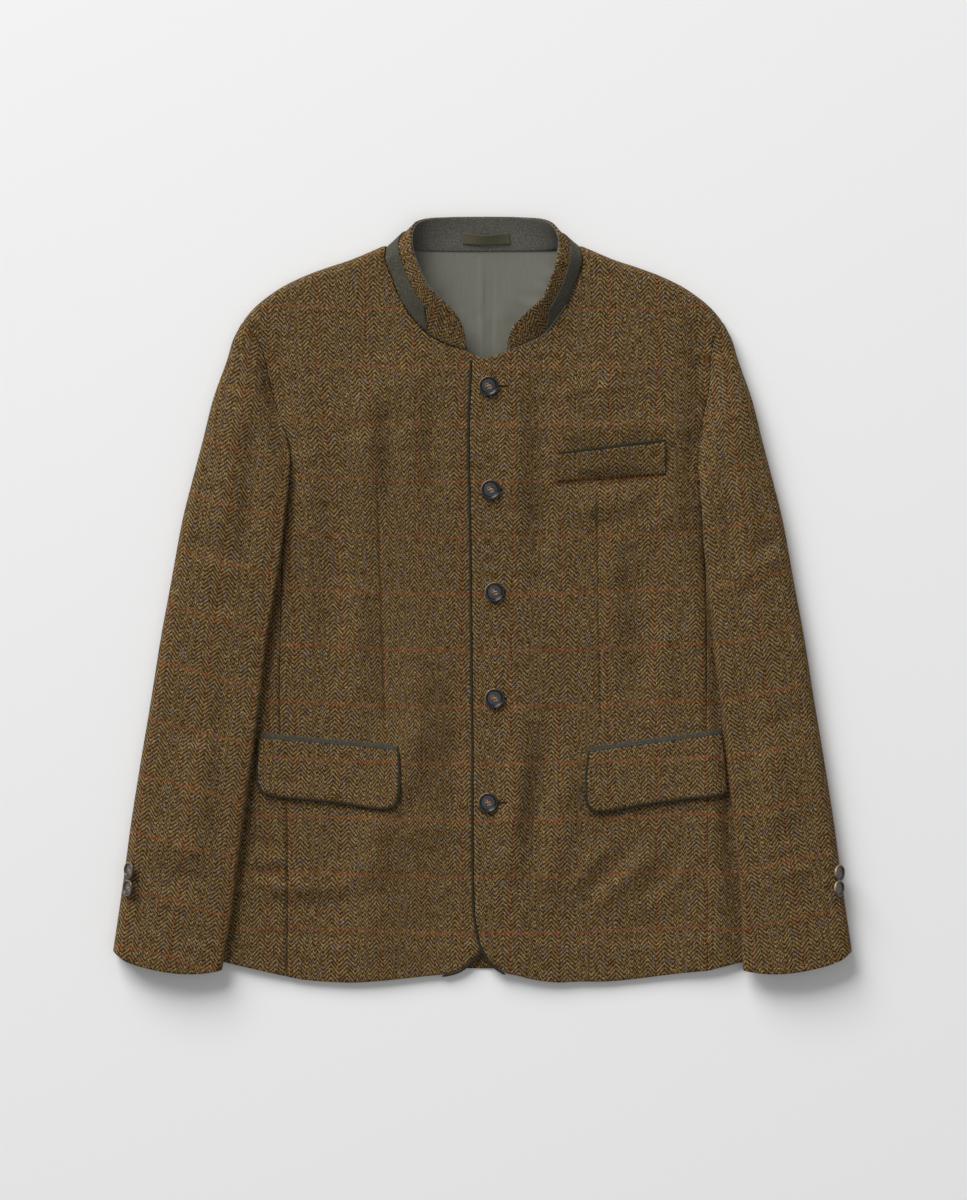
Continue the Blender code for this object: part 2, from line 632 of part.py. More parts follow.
def upper_point(side, s, t, x, y, roll_out, middle_in, out_turn, in_turn, across):
    """Outer point and normal of the upper sleeve piece."""
    seam = SEAM / 2
    crest = (2 * roll_out) * (1 - t) + (middle_in + SLEEVE_ROLL_IN) * t
    crest += SLEEVE_CROWN * math.sin(math.pi * t)
    fold = (roll_out if out_turn < math.pi / 2 else middle_in) + seam
    turn = min(out_turn, in_turn)
    z = fold + (crest - fold) * math.sin(turn)
    away = -across if out_turn < in_turn else across
    normal = unit(away * math.cos(turn) + UP * math.sin(turn))
    # beside the armhole the piece is as high as the front is there, and rolls to its own fold
    top, flat = front_unrolled(side, x, y)
    rise = top - roll_out - seam
    body = top - rise * (1 - math.sin(out_turn))
    body_normal = unit(flat * roll_out * math.sin(out_turn) - across * rise * math.cos(out_turn))
    puff = (2 * TWEED + 2 * STACK) * smooth((t - 0.6) / 0.4)
    near = 1 - smooth(s / 0.085)
    z += (body + puff - z) * near
    body_share = near if t < 0.999 else 1 - smooth(s / 0.02)
    if out_turn < 1e-6:
        return (x, y, z), -across
    return (x, y, z), unit(normal * (1 - body_share) + body_normal * body_share)


def under_point(side, s, x, y, roll_out, middle_in, out_turn, in_turn, across):
    """Outer point and normal of the under sleeve piece."""
    rest = support(side, x, y)
    flat = -graph_normal(lambda px, py: support(side, px, py), x, y)
    turn = min(out_turn, in_turn)
    fold = (roll_out if out_turn < math.pi / 2 else middle_in) - SEAM / 2
    away = -across if out_turn < in_turn else across
    formed = 1.0 if out_turn < in_turn else smooth((s - 0.012) / 0.045)
    rise = (fold - rest) * (1 - math.sin(turn)) * formed
    cosine = math.cos(turn) * formed
    return (x, y, rest + rise), unit(away * cosine + flat * math.sqrt(1 - cosine * cosine))


# ---------------------------------------------------------------- collar
def collar_places():
    """The collar as a function of shares of its length and height. It stands inside the fronts'
    necklines and beyond the back's."""
    rows = []
    along = np.gradient(np.array([row[:2] for row in COLLAR], float), axis=0)
    for k, (seam_x, seam_y, top_x, top_y, top_z, seam_z) in enumerate(COLLAR):
        away = np.array((0.0, 1.0))
        if k in NECK_POINTS:
            away = np.array((-math.copysign(1.0, seam_x), 1.0))
        elif seam_z == 0:
            side = "left" if seam_x > 0 else "right"
            top_z += overlap_lift(seam_x) if side == "left" else 0.0
            seam_z = front_surface(side, seam_x, seam_y)[0][2] + SEAM
            away = unit(np.array((along[k][1], -along[k][0])))
        seam_x, seam_y = np.array((seam_x, seam_y)) + COLLAR_GAP * away
        rows.append((seam_x, seam_y, seam_z, top_x, top_y, top_z))
    run = curve(rows)

    def at(u, v):
        row = run(u)
        return row[:3] + (row[3:] - row[:3]) * v

    return at


def collar_grid(at, lengths, heights, depth):
    """Points of the collar moved outwards by a depth, or inwards where it is negative."""
    step = 0.004
    points = []
    for u in lengths:
        row = []
        for v in heights:
            along = at(min(u + step, 1.0), v) - at(max(u - step, 0.0), v)
            outwards = unit(np.cross(at(u, 1.0) - at(u, 0.0), along))
            row.append(tuple(at(u, v) + depth * outwards))
        points.append(row)
    return points


def build_collar():
    """The stand collar: tweed outside, felt inside, and a felt band round its foot."""
    at = collar_places()
    sign = collar_side(at)
    lengths = np.linspace(0, 1, 49)
    layers = (
        # name, finish, lengths, heights, outer depth, inner depth
        ("collar", "tweed", lengths, np.linspace(0, 1, 4), 0.0, -COLLAR_WALL),
        ("collar_facing", "felt", lengths[1:-1], np.linspace(0.04, 0.985, 4),
         -COLLAR_WALL - SEAM, -COLLAR_WALL - SEAM - FELT),
        ("collar_felt", "felt", lengths[6:-6], np.linspace(0.1, FELT_SHARE, 3),
         SEAM + FELT, SEAM),
    )
    for name, finish, lengths, heights, outer, inner in layers:
        wall(name, collar_grid(at, lengths, heights, sign * outer),
             collar_grid(at, lengths, heights, sign * inner), finish)
    build_loop(at, sign)


def collar_side(at):
    """1 where collar_grid's outwards is the side away from the neck, -1 where it isn't."""
    point = np.array(collar_grid(at, [0.25], [0.5], 1.0)[0][0]) - at(0.25, 0.5)
    return 1.0 if point[0] < 0 else -1.0


def build_loop(at, sign):
    """The hanger loop, flat on the collar's inner side, a little proud in its middle."""
    lengths = np.linspace(*LOOP_SPAN, 11)
    heights = np.linspace(*LOOP_RISE, 3)
    base = COLLAR_WALL + 2 * SEAM + FELT
    outer, inner = [], []
    for k, u in enumerate(lengths):
        bow = LOOP_BOW * math.sin(math.pi * k / (len(lengths) - 1))
        inner += collar_grid(at, [u], heights, -sign * (base + bow))
        outer += collar_grid(at, [u], heights, -sign * (base + bow + LOOP_WALL))
    wall("hanger_loop", outer, inner, "loop")


def build_lining():
    """The back lining, where the neck shows it."""
    corners = [np.array(corner, float) for corner in LINING_PLAN]

    def at(s, t):
        low = corners[0] + (corners[1] - corners[0]) * t
        high = corners[2] + (corners[3] - corners[2]) * t
        return low + (high - low) * s

    places = grid(at, np.linspace(0, 1, 6), np.linspace(0, 1, 7))
    surface_wall("back_lining", places, lambda x, y: ((x, y, TWEED), UP), LINING, "lining", SEAM)


# ---------------------------------------------------------------- pockets and trims
def strip(path, shares, near, far):
    """Plan places of a strip beside a path, between two distances to the right of it."""
    edges = (beside(path, near), beside(path, far))
    return [[edge(share)[:2] for edge in edges] for share in shares]


def build_pocket(side):
    """A flap with its felt piping, under a felt jetting."""
    def surface(x, y):
        return front_surface(side, x, y)

    first, bottom, last = FLAP[side]
    top = curve((first[0], last[-1]))
    at = patch(curve(bottom), top, curve(reverse(first)), curve(last))
    columns = (0, 0.035, 0.07, 0.12, 0.3, 0.5, 0.7, 0.88, 0.93, 0.965, 1)
    surface_wall(f"flap_{side}", grid(at, np.linspace(0, 1, 5), columns), surface,
                 FLAP_WALL, "tweed", FLAP_LIFT)

    sides = [(first, (0.02, 0.5, 1)), (bottom, columns[1:])]
    if side == "right":
        sides.append((last, (0.5, 0.98)))
    piping = [place for edge, shares in sides
              for place in strip(curve(edge), shares, SEAM, SEAM + PIPING_WIDTH)]
    surface_wall(f"flap_piping_{side}", piping, surface, FLAP_WALL, "felt", FLAP_LIFT)

    jetting = strip(top, np.linspace(0, 1, 9), -SEAM, -SEAM - JETTING_WIDTH)
    surface_wall(f"jetting_{side}", jetting, surface, JETTING_WALL, "felt", FLAP_LIFT)


def build_welt():
    """The slanting welt of the chest pocket, on the left front."""
    low, high = (curve(edge) for edge in WELT)
    places = [[low(t) + (high(t) - low(t)) * s for t in np.linspace(0, 1, 7)] for s in (0, 0.5, 1)]
    surface_wall("chest_welt", places, lambda x, y: front_surface("left", x, y), WELT_WALL,
                 "tweed", FLAP_LIFT)


def build_edge_piping(side):
    """The felt piping in a front's centre edge, from its hem to its neck."""
    gap = -SEAM if side == "left" else SEAM
    far = gap - PIPING_WIDTH if side == "left" else gap + PIPING_WIDTH
    places = strip(curve(CENTRE_EDGE[side]), [row / 0.78 for row in edge_rows()], gap, far)
    surface_wall(f"front_piping_{side}", places, lambda x, y: front_surface(side, x, y), TWEED,
                 "felt")


def edge_rows():
    """The rows of a front that meet its centre edge."""
    return [row for row in body_rows(FRONT_HOLE_ROWS) if row <= 0.78] + [0.78]


# ---------------------------------------------------------------- buttons
def build_button(name, centre, radius, tilt, finish):
    """A turned four-hole button with a raised rim, its underside at its centre point. It tilts
    about the garment's length."""
    sides = 16
    rings = [(radius * r, BUTTON_THICKNESS * h) for r, h in BUTTON_PROFILE]
    points = [(0.0, 0.0, 0.0)]
    for r, h in rings:
        points += [(r * math.cos(2 * math.pi * k / sides), r * math.sin(2 * math.pi * k / sides), h)
                   for k in range(sides)]
    points.append((0.0, 0.0, rings[-1][1]))
    faces = []
    for k in range(sides):
        after = (k + 1) % sides
        faces.append((0, 1 + after, 1 + k))
        for ring in range(len(rings) - 1):
            a, b = 1 + ring * sides + k, 1 + ring * sides + after
            faces += [(a, b, b + sides), (a, b + sides, a + sides)]
        last = 1 + (len(rings) - 1) * sides
        faces.append((last + k, last + after, len(points) - 1))
    turn = np.array(((math.cos(tilt), 0, math.sin(tilt)), (0, 1, 0),
                     (-math.sin(tilt), 0, math.cos(tilt))))
    return solid(name, [tuple(turn @ np.array(p) + centre) for p in points], faces, finish)


def build_buttons():
    """Five buttons down the left front, and two on each cuff that touch."""
    for k, (x, y) in enumerate(FRONT_BUTTONS, 1):
        top = front_surface("left", x, y)[0][2]
        build_button(f"button_front_{k}", np.array((x, y, top + BUTTON_STAND)),
                     FRONT_BUTTON_DIAMETER / 2, 0.0, "horn")
    for side, places in CUFF_BUTTONS.items():
        sign = 1.0 if side == "left" else -1.0
        pair = []
        for x, y in places:
            fold = np.interp(y, *zip(*[(row[1], row[0]) for row in reverse(SLEEVE_OUTER)]))
            turn = math.acos(1 - (fold - x) / SLEEVE_ROLL_OUT)
            height = SLEEVE_ROLL_OUT * (1 + math.sin(turn)) + CUFF_BUTTON_STAND
            name = f"cuff_button_{len(pair)}_{side}" if pair else f"cuff_buttons_{side}"
            pair.append(build_button(name, np.array((sign * x, y, height)),
                                     CUFF_BUTTON_DIAMETER / 2, sign * CUFF_BUTTON_TILT, "cuff_horn"))
        join = pair[0].modifiers.new("join", "BOOLEAN")
        join.operation, join.solver, join.object = "UNION", "EXACT", pair[1]
        pair[1].hide_render = True


def main():
    for old in list(bpy.data.objects):
        bpy.data.objects.remove(old, do_unlink=True)
    build_back()
    for side in ("left", "right"):
        build_front(side)
        build_side(side)
        build_sleeve(side)
        build_pocket(side)
        build_edge_piping(side)
    build_collar()
    build_lining()
    build_welt()
    build_buttons()


main()
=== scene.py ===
"""Looks of the tyrolean jacket: herringbone tweed panels, felt trims, satin lining and horn buttons.

The jacket lies flat on its back. Plan tables are in millimetres: x from the centre line towards the
wearer's left, y up from the hem's lowest point. Heights are in millimetres above the surface.
"""
import logging
import math
from dataclasses import dataclass, field
from enum import Enum
from typing import Callable, Sequence

import bpy
import numpy as np
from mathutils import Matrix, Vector


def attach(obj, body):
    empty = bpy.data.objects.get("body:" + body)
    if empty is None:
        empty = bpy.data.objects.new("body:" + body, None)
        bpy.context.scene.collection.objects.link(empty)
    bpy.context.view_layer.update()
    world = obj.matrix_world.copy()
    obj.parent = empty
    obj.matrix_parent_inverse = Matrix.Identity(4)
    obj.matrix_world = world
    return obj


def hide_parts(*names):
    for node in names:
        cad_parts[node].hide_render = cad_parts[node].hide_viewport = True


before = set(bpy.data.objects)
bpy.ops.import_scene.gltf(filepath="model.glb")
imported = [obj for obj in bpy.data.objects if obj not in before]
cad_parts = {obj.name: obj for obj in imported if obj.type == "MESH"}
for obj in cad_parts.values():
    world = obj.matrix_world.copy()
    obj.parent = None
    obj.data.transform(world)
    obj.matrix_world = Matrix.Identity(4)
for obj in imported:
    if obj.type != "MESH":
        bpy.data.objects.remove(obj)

log = logging.getLogger("jacket")
Array = np.ndarray
Line = Callable[[Array], Array]
Table = Sequence[Sequence[float]]
Pair = tuple[float, float]
Socket = bpy.types.NodeSocket

MM = 0.001
MID_LENGTH = 382.0


class Side(Enum):
    """A side of the wearer, valued with the sign of x on it."""

    LEFT = 1.0
    RIGHT = -1.0

    @property
    def word(self) -> str:
        """The side as node names write it."""
        return self.name.lower()


class Border(Enum):
    """A border of a grid of cloth: its first or last row, or its first or last column."""

    FIRST_ROW = 0
    LAST_COLUMN = 1
    LAST_ROW = 2
    FIRST_COLUMN = 3


# ---- plan tables
# outer fold of a sleeve, shoulder tip to cuff: x outwards, y
SLEEVE_OUTER = (
    (239.5, 660), (249, 642), (255, 622), (269, 582), (279, 542), (289.5, 502), (299.5, 462),
    (310.5, 402), (321.5, 342), (331, 282), (341, 222), (350.5, 162), (358.5, 102), (368.5, 33),
)
# inner fold of each sleeve where it lies on the body, armhole to cuff: x outwards, y
SLEEVE_INNER = {
    Side.RIGHT: ((191.5, 520), (193, 492), (195.5, 470), (199.5, 434), (207.5, 382), (214.5, 342),
                 (221, 282), (234, 186), (242.5, 122), (250.5, 62), (259, 14)),
    Side.LEFT: ((215.5, 504), (217, 487), (218.5, 470), (220.5, 434), (226.5, 380), (231, 324),
                (237, 282), (247, 189), (252, 141), (257, 85), (259, 14)),
}
# cuff edge, outer fold to inner fold: x outwards, y
CUFF_EDGE = ((368.5, 33), (358, 25), (346, 20), (322, 14), (300, 11), (280, 11), (259, 14))
# armhole on the front, shoulder tip to the point where the sleeve's fold starts
ARMHOLE_FRONT = {
    Side.RIGHT: ((239.5, 660), (227, 646), (219, 630), (211, 595), (204, 570), (196.5, 547),
                 (191.5, 520)),
    Side.LEFT: ((239.5, 660), (231, 643), (227.5, 627), (225.5, 595), (220.5, 568), (216.5, 532),
                (215.5, 504)),
}
# armhole under the sleeve, from that point down to the armpit on the side fold
ARMHOLE_LOW = {
    Side.RIGHT: ((191.5, 520), (193.5, 500), (203, 480), (220.5, 467)),
    Side.LEFT: ((215.5, 504), (217, 488), (226, 470), (239.5, 462)),
}
# armhole on the back, the side panel's corner to the shoulder tip
ARMHOLE_BACK = {
    Side.RIGHT: ((217.5, 500), (220.5, 542), (224.5, 582), (230.5, 622), (239.5, 660)),
    Side.LEFT: ((232.5, 496), (231.5, 542), (231.5, 582), (233.5, 622), (239.5, 660)),
}
# side fold of the body, armpit to hem: x outwards, y
SIDE_FOLD = {
    Side.RIGHT: ((220.5, 467), (235.5, 422), (242.5, 362), (246.5, 302), (252.5, 222),
                 (260.5, 122), (268, 24)),
    Side.LEFT: ((239.5, 462), (242.5, 422), (246.5, 362), (249.5, 302), (253.5, 222),
                (261.5, 122), (268, 24)),
}
# seam between front and side panel on top, armhole to hem
SIDE_SEAM = {
    Side.RIGHT: ((195, 494), (200, 422), (201.5, 362), (201.5, 247), (195, 167), (194.5, 7)),
    Side.LEFT: ((217.5, 486), (222, 422), (223.5, 362), (223.5, 247), (224.5, 167), (224.5, 13)),
}
# seam between back and side panel underneath, armhole to hem
UNDER_SEAM = {
    Side.RIGHT: ((217.5, 500), (211, 422), (210, 362), (212, 222), (220, 122), (227, 20)),
    Side.LEFT: ((232.5, 496), (218, 422), (212, 362), (212, 222), (220, 122), (227, 20)),
}
# shoulder line, tip to neck point
SHOULDER = ((239.5, 660), (226.5, 675), (202.5, 693), (178.5, 705), (154.5, 714), (130.5, 722),
            (97.5, 736))
# centre front edge, hem to neck: x towards the wearer's left
CENTRE_EDGE = {
    Side.LEFT: ((23, 10), (10.5, 19), (-0.5, 36), (-5.5, 57), (-7.5, 74), (-9, 252), (-11, 452),
                (-12.5, 552), (-10, 620)),
    Side.RIGHT: ((-40, 8), (-25, 12), (-14.5, 19), (-1.5, 33), (9, 47), (18, 72), (25.5, 122),
                 (25.5, 252), (25.5, 452), (25.5, 620)),
}
# hem of each front, side seam to centre edge
FRONT_HEM = {
    Side.RIGHT: ((-194.5, 7), (-178, 4), (-154, 2), (-130, 1), (-106, 2), (-82, 4), (-58, 6.5),
                 (-40, 8)),
    Side.LEFT: ((224.5, 13), (193.5, 10), (169.5, 7), (145.5, 4), (121.5, 2), (97.5, 2),
                (73.5, 1), (49.5, 4), (37.5, 7), (23, 10)),
}
BACK_HEM = ((-227, 20), (-150, 16), (0, 15), (150, 16), (227, 20))
# body height along the garment: y, height at the middle, height beside the side fold
BODY_HEIGHT = (
    (0, 7, 10), (80, 7, 10), (250, 8, 10), (400, 11, 10.5), (470, 14.5, 11),
    (500, 16.5, 12), (530, 18.5, 16), (580, 20, 19), (640, 20.5, 19), (760, 19, 18),
)
# collar from the right front end round the back to the left front end
COLLAR = (
    # seam x, seam y, top x, top y, top z, seam z
    (-16.5, 630, -16, 636, 22, 0), (-26, 633, -19, 650, 26, 0), (-38, 637, -26, 664, 30, 0),
    (-54, 646, -41, 680, 35, 0), (-69, 661, -51, 689, 37, 0), (-82, 681, -58, 698, 37, 0),
    (-92, 706, -66, 716, 36, 0), (-97.5, 721, -70.5, 732, 33.5, 0),
    (-96, 732, -72, 744.5, 30, 10.5), (-87.5, 736.2, -69.5, 755, 24.5, 6.4),
    (-67, 733, -58.5, 761.5, 17, 3.2), (-42, 731.6, -36, 763.5, 12, 2.2),
    (0, 731.4, 0, 764, 11.5, 2.2),
    (42, 731.6, 38, 763.5, 12, 2.2), (67, 733, 62, 761, 17, 3.2),
    (87.5, 736.2, 73.5, 753.5, 24.5, 6.4), (97.5, 732, 77.5, 743, 30, 10.5),
    (100, 721, 76.5, 730, 33.5, 0), (95, 702, 73, 713, 36, 0), (87, 681.5, 68, 698, 37, 0),
    (75, 663, 60, 681, 37, 0), (61, 646, 48, 670, 35, 0), (46, 637.8, 36, 660, 30, 0),
    (34.5, 633, 28, 649, 26, 0), (25, 630.3, 24.5, 637, 22, 0),
)
NECK_POINTS = (8, 16)
CENTRE_NECK = {
    Side.RIGHT: ((25.5, 620), (2, 623), (-9, 627)),
    Side.LEFT: ((-10, 620), (4, 622.5), (17, 627)),
}
# pocket flaps: the first side, the bottom and the last side
FLAP = {
    Side.RIGHT: (((-222.5, 244), (-223.5, 220), (-223.5, 202)),
                 ((-223.5, 202), (-219.5, 193), (-211.5, 189), (-150, 182.5), (-97, 176),
                  (-89, 178.5), (-85.3, 186)),
                 ((-85.3, 186), (-85, 210), (-86, 231.5))),
    Side.LEFT: (((107.5, 230), (105.5, 205), (105.5, 182)),
                ((105.5, 182), (108.5, 175), (118, 173), (168.5, 181), (244, 190)),
                ((244, 190), (242, 219), (238.5, 247.5))),
}
WELT = (((73.5, 501), (181, 508.5)), ((75.5, 526), (181.5, 538.5)))
LINING_PLAN = ((-84, 596), (84, 596), (-82, 730.5), (82, 730.5))
FRONT_BUTTONS = ((6, 595), (8, 492), (12, 390), (12, 284), (5.5, 180))
CUFF_BUTTONS = {
    Side.RIGHT: ((349.8, 113), (350.8, 95.5)),
    Side.LEFT: ((353.6, 110.5), (353, 95)),
}
# darts: x and y of the upper and lower ends, then depth
DARTS = ((-104.5, 502, -96.5, 246, 1.7), (114.5, 500, 118.5, 250, 1.7))
# creases of the fronts: start, middle, end, half width, height
CREASES = (
    # x0, y0, xm, ym, x1, y1, width, height
    # armholes
    (-210, 640, -198, 560, -189, 470, 14, -4.8), (-220, 640, -214, 600, -205, 560, 8, -3.0),
    (-178, 560, -176, 500, -170, 420, 18, 4.8), (212, 668, 217, 640, 216, 600, 13, -3.8),
    (220, 640, 216, 580, 211, 500, 11, -4.8), (192, 570, 190, 490, 184, 420, 17, 4.5),
    (-231, 646, -213, 600, -193, 524, 6, -2.6), (231, 646, 226, 596, 217, 528, 6, -2.6),
    # shoulders and chest
    (-92, 590, -93, 545, -90, 470, 10, -2.6), (-112, 606, -114, 545, -108, 470, 13, 4.5),
    (-70, 600, -70, 545, -64, 480, 12, 2.7), (-46, 590, -48, 540, -44, 470, 10, -2.2),
    (54, 610, 58, 540, 62, 500, 12, -3.8), (32, 600, 34, 540, 34, 430, 13, 3.9),
    (58, 500, 58, 440, 60, 380, 13, -4.2), (84, 600, 88, 570, 84, 548, 14, 3.6),
    (150, 420, 158, 330, 156, 270, 15, -3.8), (182, 400, 184, 330, 180, 262, 15, 3.6),
    (134, 460, 130, 400, 128, 330, 14, 3.6), (150, 486, 172, 462, 184, 420, 12, -3.0),
    (-150, 470, -152, 380, -146, 270, 17, -3.8), (-128, 430, -124, 340, -126, 262, 14, 4.2),
    (-60, 620, -90, 590, -140, 566, 20, 3.6), (60, 620, 100, 596, 150, 578, 18, 3.6),
    # along the welt
    (68, 497, 120, 502, 190, 507, 8, -3.8), (84, 470, 122, 477, 160, 482, 11, 3.9),
    (66, 546, 128, 552, 192, 556, 13, 3.9),
    # down the middle
    (-64, 340, -68, 250, -82, 160, 17, 6.6), (-30, 330, -26, 220, -32, 130, 14, -4.2),
    (-106, 190, -110, 100, -100, 22, 19, 6.3), (-60, 150, -46, 90, -40, 30, 24, -1.9),
    (38, 280, 34, 190, 24, 96, 14, 6.0), (62, 262, 57, 190, 46, 104, 13, -4.5),
    (86, 240, 82, 160, 62, 80, 14, 3.9), (-150, 170, -156, 90, -148, 20, 16, -1.9),
    (-112, 166, -60, 152, -16, 150, 24, 2.6), (10, 128, 40, 122, 76, 120, 18, 1.8),
    # above the hem
    (-240, 142, -215, 139, -194, 134, 6, -2.2), (-238, 127, -214, 123, -190, 118, 6, 2.7),
    (-236, 112, -212, 107, -186, 102, 6, -2.0), (-232, 98, -180, 95, -120, 98, 9, 3.3),
    (-236, 80, -180, 76, -114, 76, 10, -1.9), (154, 140, 122, 106, 94, 70, 8, -2.0),
    (138, 150, 104, 116, 80, 80, 9, 2.6), (178, 138, 146, 106, 112, 78, 9, 3.4),
    (204, 124, 178, 100, 150, 82, 8, -1.9), (128, 58, 162, 57, 200, 64, 9, -1.9),
    (212, 136, 200, 110, 176, 84, 9, 2.2), (-244, 49, -180, 46, -114, 44, 3.5, -0.9),
    (88, 45, 160, 47, 236, 50, 3.5, -0.9),
    # beside the sleeves' inner folds
    (-194, 492, -212, 350, -228, 230, 7, -3.2), (-224, 262, -240, 140, -259, 6, 7, -3.5),
    (221, 490, 232, 340, 243, 222, 9, -4.8), (202, 450, 212, 340, 220, 250, 13, 2.2),
    (242, 262, 255, 140, 262, 6, 12, -7.6), (222, 250, 230, 140, 236, 16, 15, 3.4),
)
# creases of the sleeves
SLEEVE_CREASES = (
    (-236, 600, -250, 520, -262, 440, 14, 4.1), (-226, 560, -232, 480, -236, 400, 10, -3.6),
    (-262, 400, -258, 380, -236, 372, 9, -2.5), (-296, 446, -276, 432, -246, 424, 8, -2.4),
    (-290, 424, -266, 412, -240, 404, 8, 2.5), (-318, 270, -300, 250, -262, 246, 11, -2.2),
    (-270, 300, -280, 200, -290, 100, 16, 3.2), (-254, 330, -262, 220, -264, 120, 9, -2.4),
    (-326, 150, -306, 138, -276, 136, 12, 3.0), (-330, 112, -302, 104, -276, 102, 12, -3.1),
    (-310, 60, -296, 50, -276, 52, 9, -1.4),
    (246, 600, 256, 520, 266, 440, 14, 4.1), (240, 560, 246, 480, 250, 400, 10, -3.6),
    (266, 404, 262, 386, 246, 376, 9, -2.5), (300, 450, 282, 436, 254, 428, 8, -2.4),
    (298, 426, 276, 414, 252, 408, 8, 2.2), (322, 280, 304, 262, 268, 254, 11, -2.2),
    (278, 300, 288, 200, 296, 100, 16, 3.2), (262, 320, 268, 220, 272, 110, 9, -2.5),
    (326, 160, 310, 152, 286, 154, 10, -1.8), (330, 126, 312, 112, 288, 108, 9, 2.1),
)
# shallow hollows in the underside of the back, where it bridges the surface
BACK_LIFTS = (
    (-60, 620, -40, 520, -70, 400, 26, 0.9), (70, 600, 50, 500, 66, 380, 26, 0.9),
    (-150, 300, -130, 200, -140, 80, 30, 0.8), (120, 260, 140, 180, 126, 60, 30, 0.8),
    (0, 360, 10, 250, -6, 120, 24, 0.6), (-180, 560, -176, 500, -190, 440, 16, 0.8),
    (186, 560, 180, 500, 194, 440, 16, 0.8),
)
# soft folds in the lining
LINING_FOLDS = (
    (-2, 728, -1, 690, 0, 600, 3.0, 1.0), (9, 728, 10, 680, 8, 600, 2.5, -0.4),
    (-74, 712, -60, 692, -50, 660, 14, 2.4), (-46, 700, -34, 680, -30, 640, 14, -0.8),
    (76, 712, 64, 692, 56, 660, 14, 1.8), (48, 690, 38, 670, 32, 640, 14, -0.8),
)
# a crease's reach in half widths, the share of its length where its ends stop, and how it dies out there
CREASE_REACH = 3.2
CREASE_END = 0.02
CREASE_FADE = 0.7
# waves along a crease: size, turns, and how far round them each next crease of a table starts
CREASE_WAVES = ((0.28, 9.0, 1.7), (0.14, 23.0, 1.0))
# heights of the three ripples in cloth that lies loose
RIPPLE_HEIGHTS = (0.42, 0.2, 0.1)
# distances of the first rows of points from a sewn edge
EDGE_ROWS = (0.0, 0.5, 1.1, 1.9, 3.0)
# radii of the buttons, how far the front ones' holes lie from both middle lines, and the holes' turn
FRONT_BUTTON_RADIUS = 10.0
CUFF_BUTTON_RADIUS = 8.4
HOLE_OFFSET = 1.35
HOLE_TURN = math.radians(15)


def collar_foot(first: int, last: int) -> tuple:
    """The collar's foot in plan, between two of its rows."""
    return tuple(row[:2] for row in COLLAR[first:last + 1])


BACK_NECK = collar_foot(*NECK_POINTS)
NECKLINE = {
    Side.RIGHT: CENTRE_NECK[Side.RIGHT] + collar_foot(0, NECK_POINTS[0]),
    Side.LEFT: CENTRE_NECK[Side.LEFT] + tuple(reversed(collar_foot(NECK_POINTS[1], len(COLLAR) - 1))),
}


# ---- lines and patches
def unit(v: Array) -> Array:
    """Vectors scaled to length one along the last axis."""
    return v / np.maximum(np.linalg.norm(v, axis=-1, keepdims=True), 1e-12)


def smooth(x: Array) -> Array:
    """A soft step from 0 to 1."""
    x = np.clip(x, 0.0, 1.0)
    return x * x * (3 - 2 * x)


def run_length(points: Array, axis: int = 0) -> Array:
    """Distance over a line or a grid of points from its first place along an axis."""
    steps = np.linalg.norm(np.diff(points, axis=axis), axis=-1)
    return np.cumsum(np.insert(steps, 0, 0.0, axis=axis), axis=axis)


def curve(points: Table, steps: int = 12) -> Line:
    """A smooth line through a table's points.

    Args:
        points: rows of x, y and any further columns that go along with them.
        steps: how many straight stretches it has between two rows.

    Returns:
        A function from shares of the line's plan length to rows of those columns.
    """
    knots = np.array(points, float)
    spans = np.sqrt(np.linalg.norm(np.diff(knots[:, :2], axis=0), axis=1))
    at = np.concatenate(([0.0], np.cumsum(spans)))
    slopes = np.gradient(knots, at, axis=0)
    u = np.linspace(0, 1, steps + 1)[1:, None]
    rise = 3 * u**2 - 2 * u**3
    fine = [knots[:1]]
    for k, span in enumerate(np.diff(at)):
        fine.append((1 - rise) * knots[k] + rise * knots[k + 1]
                    + (u**3 - 2 * u**2 + u) * span * slopes[k] + (u**3 - u**2) * span * slopes[k + 1])
    line = np.vstack(fine)
    lengths = run_length(line[:, :2])
    lengths /= lengths[-1]

    def at_share(share: Array) -> Array:
        """Rows of the line at shares of its length."""
        return np.stack([np.interp(share, lengths, line[:, k]) for k in range(line.shape[1])], axis=-1)

    return at_share


def chain(*stretches: tuple[Table, float]) -> Line:
    """One border of a piece from lines that follow each other.

    Args:
        stretches: each a table and the share of the whole border at which it ends.

    Returns:
        A function from shares of the border to its points.
    """
    lines = [curve(table) for table, _ in stretches]
    ends = [end for _, end in stretches]
    starts = [0.0] + ends[:-1]

    def at_share(share: Array) -> Array:
        """Points of the border at shares of its length."""
        share = np.asarray(share, float)
        placed = lines[0]((share - starts[0]) / (ends[0] - starts[0]))
        for line, start, end in zip(lines[1:], starts[1:], ends[1:]):
            placed = np.where((share > start)[..., None], line((share - start) / (end - start)), placed)
        return placed

    return at_share


def beside(line: Line, gap: float, reach: float = 0.002) -> Line:
    """A line moved in plan, to the right of its own direction over a short reach."""
    def at_share(share: Array) -> Array:
        """Points of the moved line at shares of its length."""
        share = np.asarray(share, float)
        ahead = line(np.minimum(share + reach, 1))[..., :2] - line(np.maximum(share - reach, 0))[..., :2]
        moved = line(share).copy()
        moved[..., :2] += gap * unit(np.stack((ahead[..., 1], -ahead[..., 0]), axis=-1))
        return moved

    return at_share


def started(line: Line, place: Array, over: float = 0.02) -> Line:
    """A line whose first point is moved to a place, over a small share of its length."""
    shift = place[:2] - line(np.array(0.0))[:2]
    return lambda share: line(share)[..., :2] + shift * np.maximum(1 - np.asarray(share) / over, 0)[..., None]


